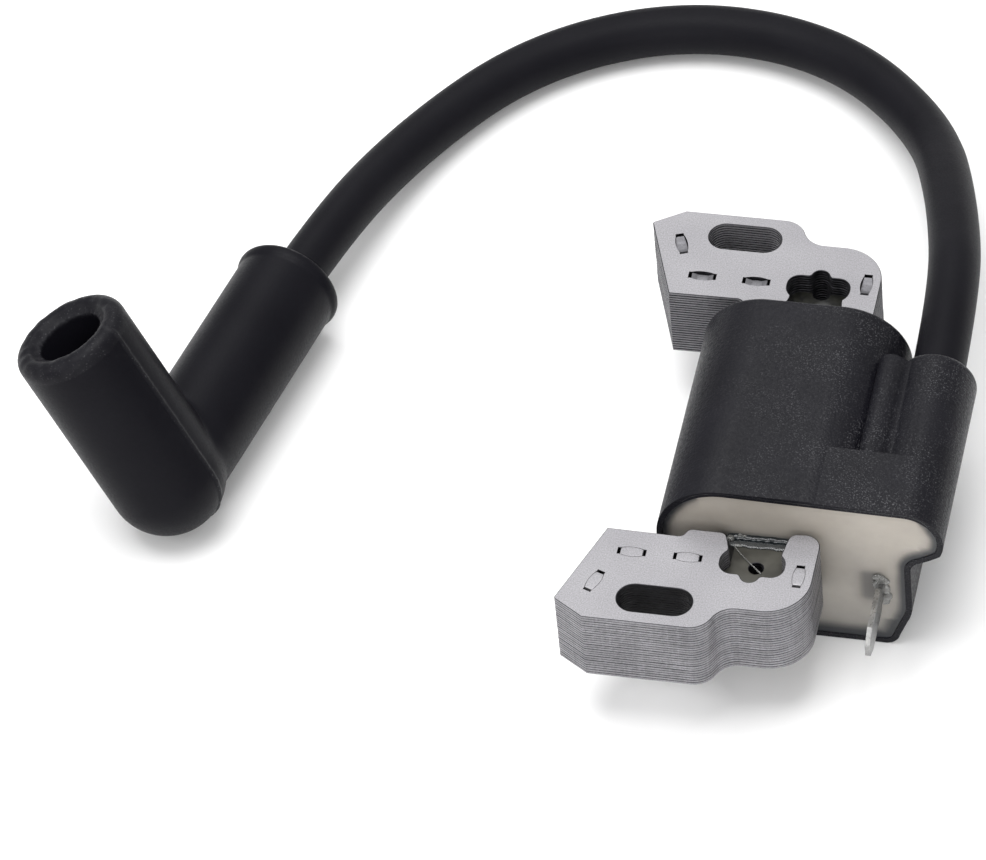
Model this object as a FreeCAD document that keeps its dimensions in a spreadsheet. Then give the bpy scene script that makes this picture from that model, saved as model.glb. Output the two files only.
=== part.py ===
import FreeCAD, Part
import math
import os

# Ignition coil of a small petrol engine: a laminated steel core with two legs, a black moulded
# case potted with cream epoxy, and a spark plug lead with an elbow boot.
#
# Frame: millimetres, +Z up, standing on the case's flat bottom at Z = 0. The core's plane of
# symmetry is Y = 0, with one leg at each end of Y. The pole faces look towards -X, where the
# flywheel turns. X = 0 is the core bar's centre line.

V = FreeCAD.Vector
doc = FreeCAD.newDocument("IgnitionCoil")

# ---------------------------------------------------------------- driving dimensions

SIZES = {
    # laminated steel core
    "lamination": (0.5, "thickness of one lamination"),
    "leg_count": (25, "laminations in a leg"),
    "bar_count": (18, "laminations in the core bar"),
    "leg_floor": (10.5, "height of the legs' undersides"),
    "slot_spacing": (72.0, "distance between the two mounting slots"),
    "slot_x": (-12.55, "centre of a mounting slot"),
    "slot_width": (5.15, "width of a mounting slot"),
    "slot_length": (11.0, "length of a mounting slot, end to end"),
    "stake_length": (4.2, "length of a lamination stake"),
    "stake_width": (1.7, "width of a lamination stake"),
    "stake_depth": (0.8, "depth of a lamination stake"),
    "bar_width": (7.7, "width of the core bar"),
    "bar_reach": (29.55, "half the length of the core bar"),
    "lobe_reach": (4.65, "half the width of the bar's end lobes"),
    "end_notch": (1.35, "radius of the notch in the bar's end"),
    "bar_hole": (1.1, "radius of the rivet holes in the bar"),
    "core_gap": (0.03, "gap between the bar and a leg's socket"),
    # case
    "case_front": (20.0, "open front of the case, towards -Y"),
    "case_rear": (19.0, "rear wall of the coil chamber"),
    "case_height": (29.05, "height of the coil chamber"),
    "case_half": (15.55, "half the width of the coil chamber"),
    "case_round": (10.0, "radius of the upper edges of the coil chamber"),
    "foot_round": (8.5, "radius of the lower edges of the coil chamber"),
    "wall": (0.9, "thickness of the case's wall"),
    "rear_wall": (1.5, "thickness of the case's rear wall"),
    "side_reach": (21.4, "outer face of the module chamber"),
    "side_rear": (10.5, "rear wall of the module chamber"),
    "groove_front": (8.8, "front end of the groove beside the tower"),
    "tower_x": (20.4, "centre line of the lead's tower"),
    "tower_z": (22.6, "height of the tower's centre line"),
    "tower_round": (5.9, "radius of the tower"),
    "tower_rear": (12.2, "rear end of the tower, where the lead comes out"),
    "tower_rounding": (1.5, "rounding of the tower's rear end"),
    "rear_rounding": (1.0, "rounding of the coil chamber's rear end"),
    "partition": (2.0, "half the thickness of the wall inside the tower"),
    "fill_recess": (0.3, "depth of the epoxy under the case's rim"),
    # windings
    "coil_z": (15.0, "height of the windings' axis"),
    "primary_half": (16.0, "half the length of the primary bobbin"),
    "secondary_half": (13.0, "half the length of the secondary bobbin"),
    "flange": (1.0, "thickness of a bobbin's flange"),
    # ignition module
    "board_x": (17.4, "inner face of the module's board"),
    "board_thickness": (1.2, "thickness of the module's board"),
    "transistor_thickness": (4.2, "thickness of the power transistor"),
    "blade_thickness": (0.8, "thickness of the kill terminal"),
    # spark plug lead
    "lead_round": (3.9, "radius of the lead"),
    "lead_bore": (0.75, "radius of the lead's bore"),
    "strand_round": (0.7, "radius of the lead's conductor"),
    "lead_x": (20.3, "centre line of the lead where it leaves the tower"),
    "pin_round": (1.2, "radius of the tower's terminal"),
    "tower_spike": (4.0, "length of the tower's spike in the lead"),
    "boot_spike": (6.0, "length of the boot's spike in the lead"),
    # elbow boot, measured from the point where its two axes meet
    "boot_x": (-92.2, "elbow centre, X"),
    "boot_y": (-10.4, "elbow centre, Y"),
    "boot_z": (9.0, "elbow centre, Z"),
    "boot_heading": (12.9, "heading of the boot's sleeve, degrees from +Y to +X"),
    "boot_lean": (26.4, "lean of the plug socket, degrees from +Z to -X"),
    "sleeve_round": (7.95, "radius of the sleeve on the lead"),
    "sleeve_reach": (42.5, "length from the elbow to the sleeve's rim"),
    "rim_round": (8.4, "radius of the bead round the sleeve's rim"),
    "rim_length": (2.6, "length of the bead"),
    "rim_rounding": (1.2, "rounding of the bead's outer edge"),
    "socket_round": (8.95, "radius of the plug socket"),
    "socket_reach": (29.6, "length from the elbow to the socket's mouth"),
    "mouth_outside": (1.8, "rounding outside the socket's mouth"),
    "mouth_inside": (1.5, "rounding inside the socket's mouth"),
    "plug_bore": (5.0, "radius of the bore for the plug's insulator"),
    "plug_floor": (9.0, "floor of the plug bore above the elbow"),
    "clip_seat": (4.0, "radius of the seat round the plug clip"),
    "clip_floor": (-2.0, "floor of the clip's seat, from the elbow's level"),
    "clip_round": (3.9, "outer radius of the plug clip"),
    "clip_bore": (3.4, "inner radius of the plug clip"),
    "clip_gap": (1.0, "width of the slit in the plug clip"),
    "lead_stop": (22.0, "end of the lead inside the sleeve"),
    "shank_round": (0.95, "radius of the boot spike's shank"),
    "shank_gap": (0.05, "gap between the shank and its hole"),
    "sleeve_gap": (0.09, "gap between the lead and the sleeve's bore"),
}

sheet = doc.addObject("Spreadsheet::Sheet", "Sizes")
for row, (alias, (value, meaning)) in enumerate(SIZES.items(), start=1):
    sheet.set(f"A{row}", meaning)
    sheet.set(f"B{row}", str(value))
    sheet.setAlias(f"B{row}", alias)
doc.recompute()


def size(alias):
    """A driving dimension's value, read from the sheet."""
    return float(sheet.get(alias))


# ---------------------------------------------------------------- outlines


def outline(start, *steps):
    """A closed wire. A step is (x, y) for a line or (middle x, middle y, x, y) for an arc."""
    edges = []
    here = V(start[0], start[1], 0)
    for step in steps:
        there = V(step[-2], step[-1], 0)
        if len(step) == 4:
            edges.append(Part.Arc(here, V(step[0], step[1], 0), there).toShape())
        else:
            edges.append(Part.LineSegment(here, there).toShape())
        here = there
    return Part.Wire(edges)


def circle(x, y, radius):
    return Part.Wire(Part.Circle(V(x, y, 0), V(0, 0, 1), radius).toShape())


def rounded_box(x, y, width, height, radius):
    """A rectangle with round corners, centred on (x, y)."""
    a = width / 2 - radius
    b = height / 2 - radius
    diagonal = radius * math.sqrt(0.5)
    steps = []
    for sx, sy in ((1, 1), (-1, 1), (-1, -1), (1, -1)):
        middle = (x + sx * (a + diagonal), y + sy * (b + diagonal))
        side = (x + sx * (a + radius), y + sy * b)
        level = (x + sx * a, y + sy * (b + radius))
        first, last = (side, level) if sx == sy else (level, side)
        steps.append(first)
        steps.append((*middle, *last))
    return outline(steps[-1][-2:], *steps)


def turned_box(x, y, length, width, degrees):
    """A rectangle centred on (x, y), with its length turned by degrees from +X."""
    c = math.cos(math.radians(degrees))
    s = math.sin(math.radians(degrees))
    corners = []
    for sx, sy in ((1, 1), (-1, 1), (-1, -1), (1, -1)):
        u = sx * length / 2
        v = sy * width / 2
        corners.append((x + u * c - v * s, y + u * s + v * c))
    return outline(corners[-1], *corners)


def s_bend(start, end):
    """Two equal arcs that leave start and reach end along X: the steps of an outline."""
    run = end[0] - start[0]
    rise = end[1] - start[1]
    radius = (run**2 + rise**2) / (4 * abs(rise))
    half_turn = math.atan(abs(rise / run))
    dx = math.copysign(radius * math.sin(half_turn), run)
    dy = math.copysign(radius * (1 - math.cos(half_turn)), rise)
    centre = (start[0] + run / 2, start[1] + rise / 2)
    return (
        (start[0] + dx, start[1] + dy, *centre),
        (end[0] - dx, end[1] - dy, *end),
    )


def inset(wire, distance):
    """The same outline, moved inwards."""
    return Part.Face(wire).makeOffset2D(-distance).Wires[0]


# ---------------------------------------------------------------- features


def new_body(label):
    body = doc.addObject("PartDesign::Body", label)
    body.Label = label
    body.AllowCompound = True
    return body


def section(body, name, wires, plane, start, length, cut=False):
    """Pads or cuts the wires from an origin plane's level `start` over `length`.

    XY and YZ sections run towards +Z and +X. XZ sections run towards +Y, and their start is
    measured towards -Y, as that plane's normal points that way. Both sizes are expressions.
    """
    sketch = body.newObject("Sketcher::SketchObject", name + "_sketch")
    support = next(f for f in body.Origin.OriginFeatures if f.Role == plane + "_Plane")
    sketch.AttachmentSupport = (support, [""])
    sketch.MapMode = "FlatFace"
    sketch.setExpression("AttachmentOffset.Base.z", start)
    for wire in wires:
        for edge in wire.Edges:
            if isinstance(edge.Curve, Part.Circle):
                arc = Part.ArcOfCircle(edge.Curve, *edge.ParameterRange)
                sketch.addGeometry(edge.Curve if edge.isClosed() else arc)
            else:
                ends = [vertex.Point for vertex in edge.Vertexes]
                sketch.addGeometry(Part.LineSegment(*ends))
    kind = "PartDesign::Pocket" if cut else "PartDesign::Pad"
    feature = body.newObject(kind, name)
    feature.Profile = sketch
    feature.setExpression("Length", length)
    feature.Reversed = (plane == "XZ") != cut
    doc.recompute()
    return feature


def round_edges(body, name, radius, wanted):
    """Fillets the body's edges for which wanted(edge) is true."""
    base = body.Tip
    edges = [f"Edge{i}" for i, e in enumerate(base.Shape.Edges, start=1) if wanted(e)]
    fillet = body.newObject("PartDesign::Fillet", name)
    fillet.Base = (base, edges)
    fillet.Radius = radius
    doc.recompute()


def is_circle(edge, radius, centre):
    """True for an edge of a circle of that radius and centre."""
    if edge.Degenerated or not isinstance(edge.Curve, Part.Circle):
        return False
    near = edge.Curve.Center.distanceToPoint(centre) < 0.01
    return near and abs(edge.Curve.Radius - radius) < 0.01


def rounded_path(points, skip_start=0.0, skip_end=0.0):
    """Straight runs joined by tangent arcs, each as large as its two runs allow."""
    edges = []
    radii = []
    here = points[0] + (points[1] - points[0]).normalize() * skip_start
    for before, corner, after in zip(points, points[1:], points[2:]):
        back = before - corner
        ahead = after - corner
        tangent = 0.45 * min(back.Length, ahead.Length)
        half_turn = (math.pi - back.getAngle(ahead)) / 2
        radius = tangent / math.tan(half_turn)
        back.normalize()
        ahead.normalize()
        inward = (back + ahead).normalize()
        middle = corner + inward * (radius / math.cos(half_turn) - radius)
        arc_start = corner + back * tangent
        arc_end = corner + ahead * tangent
        edges.append(Part.LineSegment(here, arc_start).toShape())
        edges.append(Part.Arc(arc_start, middle, arc_end).toShape())
        radii.append(radius)
        here = arc_end
    last = points[-1] - (points[-1] - points[-2]).normalize() * skip_end
    edges.append(Part.LineSegment(here, last).toShape())
    return Part.Wire(edges), radii


def tube(path, radius):
    """A round bar along the path."""
    first = path.Edges[0]
    start = first.valueAt(first.FirstParameter)
    along = first.tangentAt(first.FirstParameter)
    ring = Part.Wire(Part.Circle(start, along, radius).toShape())
    return path.makePipeShell([ring], True, False)


def new_feature(label, shape):
    feature = doc.addObject("Part::Feature", label)
    feature.Label = label
    feature.Shape = shape
    return feature


# ---------------------------------------------------------------- steel core

LOBE_CORNER = 1.9  # radius of the outer corners of the bar's end lobes
LOBE_NECK = 4.2  # from the bar's end back to the neck behind its lobes
LOBE_SHOULDER = 2.4  # from the bar's end back to where its lobes are widest
KEY_FILLET = 0.7  # radius of the edges beside a socket's end notch
THROAT = 24.8  # where a socket's flared throat ends, towards +Y


def lobe_points(gap):
    """One end of the bar, from its neck round the lobe to the end, on the +X side."""
    neck = size("bar_width") / 2 + gap
    lobe = size("lobe_reach") + gap
    end = size("bar_reach") + gap
    bend = LOBE_CORNER * (1 - math.sqrt(0.5))
    return [
        (neck, end - LOBE_NECK),
        (lobe, end - LOBE_SHOULDER),
        (lobe, end - LOBE_CORNER),
        (lobe - bend, end - bend, lobe - LOBE_CORNER, end),
    ]


def end_notch(end):
    """A socket's round end notch with filleted edges, from its +X side to its -X side."""
    notch = size("end_notch")
    reach = notch + KEY_FILLET
    fillet_x = math.sqrt(reach**2 - KEY_FILLET**2)
    touch_x = fillet_x * notch / reach
    touch_y = KEY_FILLET * notch / reach
    half_turn = math.acos(KEY_FILLET / reach) / 2
    middle_x = fillet_x - KEY_FILLET * math.sin(half_turn)
    middle_y = KEY_FILLET * (1 - math.cos(half_turn))
    return [
        (fillet_x, end),
        (middle_x, end + middle_y, touch_x, end + touch_y),
        (0, end + notch, -touch_x, end + touch_y),
        (-middle_x, end + middle_y, -fillet_x, end),
    ]


def socket_outline():
    """The opening in a leg: a flared throat, the bar's lobes and the round end notch."""
    gap = size("core_gap")
    end = size("bar_reach") + gap
    neck, shoulder, lobe, corner = lobe_points(gap)
    return outline(
        (4.5, 20.0),
        (4.5, 21.6),
        (neck[0], THROAT),
        neck,
        shoulder,
        lobe,
        corner,
        *end_notch(end),
        (-corner[2], end),
        (-corner[0], corner[1], -lobe[0], lobe[1]),
        (-shoulder[0], shoulder[1]),
        (-neck[0], neck[1]),
        (-neck[0], THROAT),
        (-5.2, 22.1),
        (-5.2, 20.0),
        (4.5, 20.0),
    )


def leg_outline():
    """A leg from above, with +Y away from the coil: pole face, slot end and heel."""
    heel = (2.6, 29.65)
    heel_round = 6.43
    diagonal = heel_round * math.sqrt(0.5)
    return outline(
        (-21.8, 23.45),
        (-11.5, 23.6),
        *s_bend((-11.5, 23.6), (-9.5, 22.1)),
        (-5.0, 22.1),
        (4.0, 21.1),
        (6.7, 20.95),
        (8.35, 21.62, 9.03, 23.3),
        (9.03, heel[1]),
        (heel[0] + diagonal, heel[1] + diagonal, heel[0], heel[1] + heel_round),
        (-0.6, heel[1] + heel_round),
        *s_bend((-0.6, heel[1] + heel_round), (-7.2, 40.5)),
        (-22.3, 40.5),
        (-26.4, 37.9),
        (-26.8, 37.55, -26.73, 37.05),
        (-21.8, 23.45),
    )


def stakes():
    """Centre and direction of the stakes that lock a leg's laminations together."""
    return ((-21.75, 33.64, 110.2), (-17.48, 27.51, 0), (-9.34, 27.44, 0), (6.98, 28.88, 90))


def make_leg(label):
    """A leg with its upper side at Z = its thickness and its slot at +Y."""
    leg = new_body(label)
    thickness = "Sizes.lamination * Sizes.leg_count"
    section(leg, "stack", [leg_outline()], "XY", "0", thickness)
    section(leg, "socket", [socket_outline()], "XY", "0", thickness, cut=True).Reversed = True
    slot = rounded_box(
        size("slot_x"),
        size("slot_spacing") / 2,
        size("slot_length"),
        size("slot_width"),
        size("slot_width") / 2 - 0.001,
    )
    section(leg, "slot", [slot], "XY", "0", thickness, cut=True).Reversed = True
    length = size("stake_length")
    width = size("stake_width")
    dents = [turned_box(x, y, length, width, turn) for x, y, turn in stakes()]
    depth = "Sizes.stake_depth"
    section(leg, "stake_dents", dents, "XY", thickness, depth, cut=True)
    gaps = []
    gap_length = 0.5
    for x, y, turn in stakes():
        for side in (-1, 1):
            shift = side * (length - gap_length) / 2
            gap_x = x + shift * math.cos(math.radians(turn))
            gap_y = y + shift * math.sin(math.radians(turn))
            gaps.append(turned_box(gap_x, gap_y, gap_length, width, turn))
    section(leg, "stake_gaps", gaps, "XY", "0", depth, cut=True).Reversed = True
    return leg


rear_leg = make_leg("rear_leg")
rear_leg.setExpression("Placement.Base.z", "Sizes.leg_floor")

# The front leg is the same stamping, turned over.
front_leg = make_leg("front_leg")
front_leg.Placement = FreeCAD.Placement(V(0, 0, 0), FreeCAD.Rotation(V(1, 0, 0), 180))
front_leg.setExpression("Placement.Base.z", "Sizes.leg_floor + Sizes.lamination * Sizes.leg_count")


def bar_outline():
    """The core bar from above: a straight bar with a lobed end in each leg."""
    end = size("bar_reach")
    notch = size("end_notch")
    neck, shoulder, lobe, corner = lobe_points(0)
    half = [
        neck,
        shoulder,
        lobe,
        corner,
        (notch, end),
        (0, end - notch, -notch, end),
        (-corner[2], end),
        (-corner[0], corner[1], -lobe[0], lobe[1]),
        (-shoulder[0], shoulder[1]),
        (-neck[0], neck[1]),
    ]
    other_half = [tuple(-value for value in step) for step in half]
    return outline((neck[0], -neck[1]), *half, *other_half)


core_bar = new_body("core_bar")
bar_thickness = "Sizes.lamination * Sizes.bar_count"
section(core_bar, "stack", [bar_outline()], "XY", "0", bar_thickness)
rivet_holes = [circle(0, side * 25.2, size("bar_hole")) for side in (-1, 1)]
section(core_bar, "rivet_holes", rivet_holes, "XY", "0", bar_thickness, cut=True).Reversed = True
core_bar.setExpression("Placement.Base.z", "Sizes.leg_floor")

# ---------------------------------------------------------------- case


def chamber_outline():
    """The coil chamber's end view, round on top and squarer below."""
    half = size("case_half")
    top = size("case_height")
    upper = size("case_round")
    lower = size("foot_round")
    upper_bend = upper * (1 - math.sqrt(0.5))
    lower_bend = lower * (1 - math.sqrt(0.5))
    return outline(
        (upper - half, top),
        (half - upper, top),
        (half - upper_bend, top - upper_bend, half, top - upper),
        (half, lower),
        (half - lower_bend, lower_bend, half - lower, 0),
        (lower - half, 0),
        (lower_bend - half, lower_bend, -half, lower),
        (-half, top - upper),
        (upper_bend - half, top - upper_bend, upper - half, top),
    )


def side_steps():
    """The module chamber's outer side, from under the tower down to the bottom."""
    side = size("side_reach")
    return [(side, 8.0), (side - 0.2, 6.6, side - 0.7, 5.3), (19.4, 1.9), (18.7, 0.6, 17.5, 0)]


TOWER_TURN = 25  # how far the front's outline follows the tower below its middle, degrees


def front_outline():
    """The open front's end view, with coil chamber, module chamber and tower in one."""
    half = size("case_half")
    top = size("case_height")
    upper = size("case_round")
    lower = size("foot_round")
    upper_bend = upper * (1 - math.sqrt(0.5))
    lower_bend = lower * (1 - math.sqrt(0.5))
    tower_x = size("tower_x")
    tower_z = size("tower_z")
    tower = size("tower_round")

    def on_tower(degrees):
        turn = math.radians(degrees)
        return tower_x + tower * math.cos(turn), tower_z + tower * math.sin(turn)

    return outline(
        (upper - half, top),
        on_tower(90),
        (*on_tower(45), *on_tower(0)),
        (*on_tower(-TOWER_TURN / 2), *on_tower(-TOWER_TURN)),
        (24.3, 19.1),
        (22.9, 18.3),
        (21.8, 17.5, size("side_reach"), 16.2),
        *side_steps(),
        (lower - half, 0),
        (lower_bend - half, lower_bend, -half, lower),
        (-half, top - upper),
        (upper_bend - half, top - upper_bend, upper - half, top),
    )


def shelf_outline():
    """The module chamber behind the groove, with the rounded shelf beside the tower."""
    return outline(
        (17.5, 0),
        (10.0, 0),
        (10.0, 20.0),
        (12.2, 26.0),
        (12.2, 27.2),
        (12.8, 28.2, 14.0, 28.5),
        (15.1, 28.3, 15.9, 27.8),
        (16.4, 27.5, 17.0, 27.4),
        (20.5, 27.4),
        (size("side_reach"), 20.0),
        *side_steps(),
    )


FRONT = "Sizes.case_front"
FILL_FRONT = "Sizes.case_front - Sizes.fill_recess"
BEHIND_RIM = "Sizes.groove_front + Sizes.wall"
DRAFT = 0.25  # how much narrower each deeper space is than the one in front of it


def module_chamber():
    """The space for the ignition module, under and beside the tower."""
    inner = size("side_reach") - size("wall") - DRAFT
    floor = size("wall") + DRAFT
    return outline(
        (10.0, floor),
        (10.0, 20.0),
        (13.4, 25.0),
        (13.4, 26.8),
        (14.3, 26.8),
        (14.3, 20.5),
        (16.2, 17.0),
        (inner, 15.6),
        (inner, 8.2),
        (18.2, 2.8),
        (17.0, floor),
        (10.0, floor),
    )


def rim_space():
    """The space just behind the open front, as wide as the rim."""
    return inset(front_outline(), size("wall"))


def deep_spaces():
    """Name, outline and rear end of the coil, module and tower spaces behind the rim."""
    tower_inside = size("tower_round") - size("wall") - DRAFT
    return (
        (
            "coil_space",
            inset(chamber_outline(), size("wall") + DRAFT),
            "Sizes.case_rear - Sizes.rear_wall",
        ),
        ("module_space", module_chamber(), "Sizes.side_rear - Sizes.wall"),
        (
            "tower_space",
            circle(size("tower_x"), size("tower_z"), tower_inside),
            "-Sizes.partition",
        ),
    )


def fill_case_space(body, front, cut):
    """Adds or cuts the whole space inside the case, from `front` rearwards."""
    rim_length = f"{front} - ({BEHIND_RIM})"
    section(body, "rim_space", [rim_space()], "XZ", front, rim_length, cut)
    start = f"{BEHIND_RIM} + 2 * Sizes.wall"
    for name, wire, rear in deep_spaces():
        section(body, name, [wire], "XZ", start, f"{start} + {rear}", cut)


BAR_WINDOW = (7.9, 9.2, 0.3)  # width, height and corner radius of the bar's rear window

case = new_body("case")
tower_ring = circle(size("tower_x"), size("tower_z"), size("tower_round"))
tower_length = "Sizes.groove_front + Sizes.tower_rear"
section(case, "tower", [tower_ring], "XZ", "Sizes.groove_front", tower_length)
tower_end = V(size("tower_x"), size("tower_rear"), size("tower_z"))
chamber_rear = size("case_rear")


def on_tower_rim(edge):
    return is_circle(edge, size("tower_round"), tower_end)


def on_rear_rim(edge):
    """True for the outer edges of the coil chamber's rear wall."""
    return all(abs(vertex.Point.y - chamber_rear) < 0.01 for vertex in edge.Vertexes)


round_edges(case, "tower_rounding", size("tower_rounding"), on_tower_rim)
section(case, "coil_chamber", [chamber_outline()], "XZ", FRONT, f"{FRONT} + Sizes.case_rear")
round_edges(case, "rear_rounding", size("rear_rounding"), on_rear_rim)
section(case, "front_rim", [front_outline()], "XZ", FRONT, f"{FRONT} - Sizes.groove_front")
section(case, "module_side", [shelf_outline()], "XZ", FRONT, f"{FRONT} + Sizes.side_rear")
fill_case_space(case, FRONT, cut=True)
lead_ring = circle(size("lead_x"), size("tower_z"), size("lead_round"))
lead_depth = "Sizes.tower_rear - Sizes.partition"
section(case, "lead_bore", [lead_ring], "XZ", "-Sizes.partition", lead_depth, cut=True)
pin_ring = circle(size("lead_x"), size("tower_z"), size("pin_round"))
section(case, "pin_hole", [pin_ring], "XZ", "Sizes.partition", "2 * Sizes.partition", cut=True)
window = rounded_box(0, size("coil_z"), *BAR_WINDOW)
window_start = "-(Sizes.case_rear - 2 * Sizes.rear_wall)"
section(case, "bar_window", [window], "XZ", window_start, "3 * Sizes.rear_wall", cut=True)

# ---------------------------------------------------------------- windings


def ring_section(body, name, outer, inner, start, length):
    """A ring round the windings' axis between two (width, height, corner) outlines."""
    height = size("coil_z")
    wires = [rounded_box(0, height, *outer), rounded_box(0, height, *inner)]
    section(body, name, wires, "XZ", start, length)


BAR_HOLE = (8.0, 9.3, 0.4)
PRIMARY_TUBE = (10.0, 11.3, 1.4)
PRIMARY_WIRE = (14.2, 15.4, 3.5)
PRIMARY_TAPE = (14.8, 16.0, 3.8)
PRIMARY_FLANGE = (15.6, 16.6, 4.0)
SECONDARY_HOLE = (16.0, 17.0, 4.2)
SECONDARY_TUBE = (17.6, 18.6, 5.0)
SECONDARY_WIRE = (23.0, 23.2, 8.0)
SECONDARY_RIB = (24.4, 24.6, 8.5)
SECTIONS = 4

primary_length = "2 * Sizes.primary_half"
wound_length = "2 * Sizes.primary_half - 2 * Sizes.flange"
wound_start = "Sizes.primary_half - Sizes.flange"

primary_bobbin = new_body("primary_bobbin")
ring_section(
    primary_bobbin, "sleeve", PRIMARY_TUBE, BAR_HOLE, "Sizes.primary_half", primary_length
)
for name, start in (
    ("front_flange", "Sizes.primary_half"),
    ("rear_flange", "Sizes.flange - Sizes.primary_half"),
):
    ring_section(primary_bobbin, name, PRIMARY_FLANGE, BAR_HOLE, start, "Sizes.flange")

primary_winding = new_body("primary_winding")
ring_section(primary_winding, "turns", PRIMARY_WIRE, PRIMARY_TUBE, wound_start, wound_length)

primary_tape = new_body("primary_tape")
ring_section(primary_tape, "wrap", PRIMARY_TAPE, PRIMARY_WIRE, wound_start, wound_length)

secondary_bobbin = new_body("secondary_bobbin")
secondary_length = "2 * Sizes.secondary_half"
ring_section(
    secondary_bobbin,
    "sleeve",
    SECONDARY_TUBE,
    SECONDARY_HOLE,
    "Sizes.secondary_half",
    secondary_length,
)
secondary_winding = new_body("secondary_winding")
pitch = f"(2 * Sizes.secondary_half - Sizes.flange) / {SECTIONS}"
for rib in range(SECTIONS + 1):
    rib_start = f"Sizes.secondary_half - {rib} * {pitch}"
    ring_section(
        secondary_bobbin, f"rib_{rib}", SECONDARY_RIB, SECONDARY_HOLE, rib_start, "Sizes.flange"
    )
    if rib < SECTIONS:
        ring_section(
            secondary_winding,
            f"turns_{rib}",
            SECONDARY_WIRE,
            SECONDARY_TUBE,
            f"{rib_start} - Sizes.flange",
            f"{pitch} - Sizes.flange",
        )

# ---------------------------------------------------------------- ignition module

# Each one is given by its middle in Y and Z, then its length and height.
BOARD = (-4.5, 10.05, 23.0, 11.1)
POWER_CASE = (-1.0, 9.0, 10.0, 8.4)
CONTROL_CASE = (-10.7, 6.9, 4.6, 4.0)
BOARD_CORNER = 0.5
CONTROL_THICKNESS = "3.2"
RESISTORS = {"pull_up": (-12.4, 14.3), "bias": (-3.6, 14.5)}  # front end's y and z
RESISTOR_X = 16.4
RESISTOR_ROUND = 0.9
RESISTOR_LENGTH = "4.0"

module_board = new_body("module_board")
board = rounded_box(*BOARD, BOARD_CORNER)
section(module_board, "board", [board], "YZ", "Sizes.board_x", "Sizes.board_thickness")

power_transistor = new_body("power_transistor")
power_x = "Sizes.board_x - Sizes.transistor_thickness"
tab_case = turned_box(*POWER_CASE, 0)
section(power_transistor, "case", [tab_case], "YZ", power_x, "Sizes.transistor_thickness")

control_transistor = new_body("control_transistor")
control_x = f"Sizes.board_x - {CONTROL_THICKNESS}"
flat_back = turned_box(*CONTROL_CASE, 0)
section(control_transistor, "case", [flat_back], "YZ", control_x, CONTROL_THICKNESS)

bias_resistors = new_body("bias_resistors")
for name, (y, z) in RESISTORS.items():
    ring = circle(RESISTOR_X, z, RESISTOR_ROUND)
    section(bias_resistors, name, [ring], "XZ", str(-y), RESISTOR_LENGTH)

kill_terminal = new_body("kill_terminal")
blade = outline(
    (-13.4, 10.6),
    (-21.2, 10.6),
    (-21.9, 9.5),
    (-29.6, 9.5),
    (-31.8, 10.6),
    (-31.8, 12.7),
    (-29.4, 14.2),
    (-21.9, 14.2),
    (-21.2, 13.1),
    (-13.4, 13.1),
    (-13.4, 10.6),
)
blade_start = "Sizes.board_x - Sizes.blade_thickness"
section(kill_terminal, "blade", [blade], "YZ", blade_start, "Sizes.blade_thickness")

high_tension_terminal = new_body("high_tension_terminal")
section(
    high_tension_terminal, "stem", [pin_ring], "XZ", "2 * Sizes.partition", "3 * Sizes.partition"
)
spike_ring = circle(size("lead_x"), size("tower_z"), size("strand_round"))
section(
    high_tension_terminal, "spike", [spike_ring], "XZ", "-Sizes.partition", "Sizes.tower_spike"
)

# Enamelled wires between the windings, the module, the core and the tower.
WIRES = {
    "primary_start_wire": (
        0.35,
        [(6.0, -16.6, 18.0), (7.4, -17.8, 17.6), (13.0, -17.4, 15.2), (16.6, -15.6, 15.2)],
    ),
    "primary_end_wire": (
        0.35,
        [(6.6, -16.6, 12.0), (8.4, -17.8, 11.2), (13.6, -17.6, 9.6), (17.0, -16.0, 8.0)],
    ),
    "secondary_return_wire": (
        0.2,
        [(-9.6, -13.3, 20.0), (-9.4, -16.4, 21.0), (-5.0, -18.3, 21.5), (-1.2, -18.6, 19.7)],
    ),
    "secondary_lead_wire": (
        0.3,
        [
            (9.0, -13.4, 22.0),
            (11.0, -15.2, 23.0),
            (16.0, -15.4, 23.2),
            (20.2, -11.4, 22.8),
            (20.3, -4.1, 22.6),
        ],
    ),
    "ground_wire": (
        0.35,
        [(17.0, -16.0, 5.2), (12.6, -17.8, 5.6), (7.0, -18.4, 8.6), (2.0, -18.4, 9.9)],
    ),
}
wires = []
for label, (radius, points) in WIRES.items():
    path, _ = rounded_path([V(*point) for point in points])
    wires.append(new_feature(label, tube(path, radius)))

# ---------------------------------------------------------------- epoxy

fill_block = new_body("fill_block")
fill_case_space(fill_block, FILL_FRONT, cut=False)

buried = doc.addObject("Part::MultiFuse", "buried_pieces")
buried.Shapes = [
    core_bar,
    primary_bobbin,
    primary_winding,
    primary_tape,
    secondary_bobbin,
    secondary_winding,
    module_board,
    power_transistor,
    control_transistor,
    bias_resistors,
    kill_terminal,
    high_tension_terminal,
    *wires,
]
potting = doc.addObject("Part::Cut", "potting")
potting.Label = "potting"
potting.Base = fill_block
potting.Tool = buried

# ---------------------------------------------------------------- elbow boot

elbow = V(size("boot_x"), size("boot_y"), size("boot_z"))
turn = FreeCAD.Rotation(-size("boot_heading"), -size("boot_lean"), 0)
boot_placement = FreeCAD.Placement(elbow, turn)
sleeve_axis = turn.multVec(V(0, 1, 0))

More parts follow.
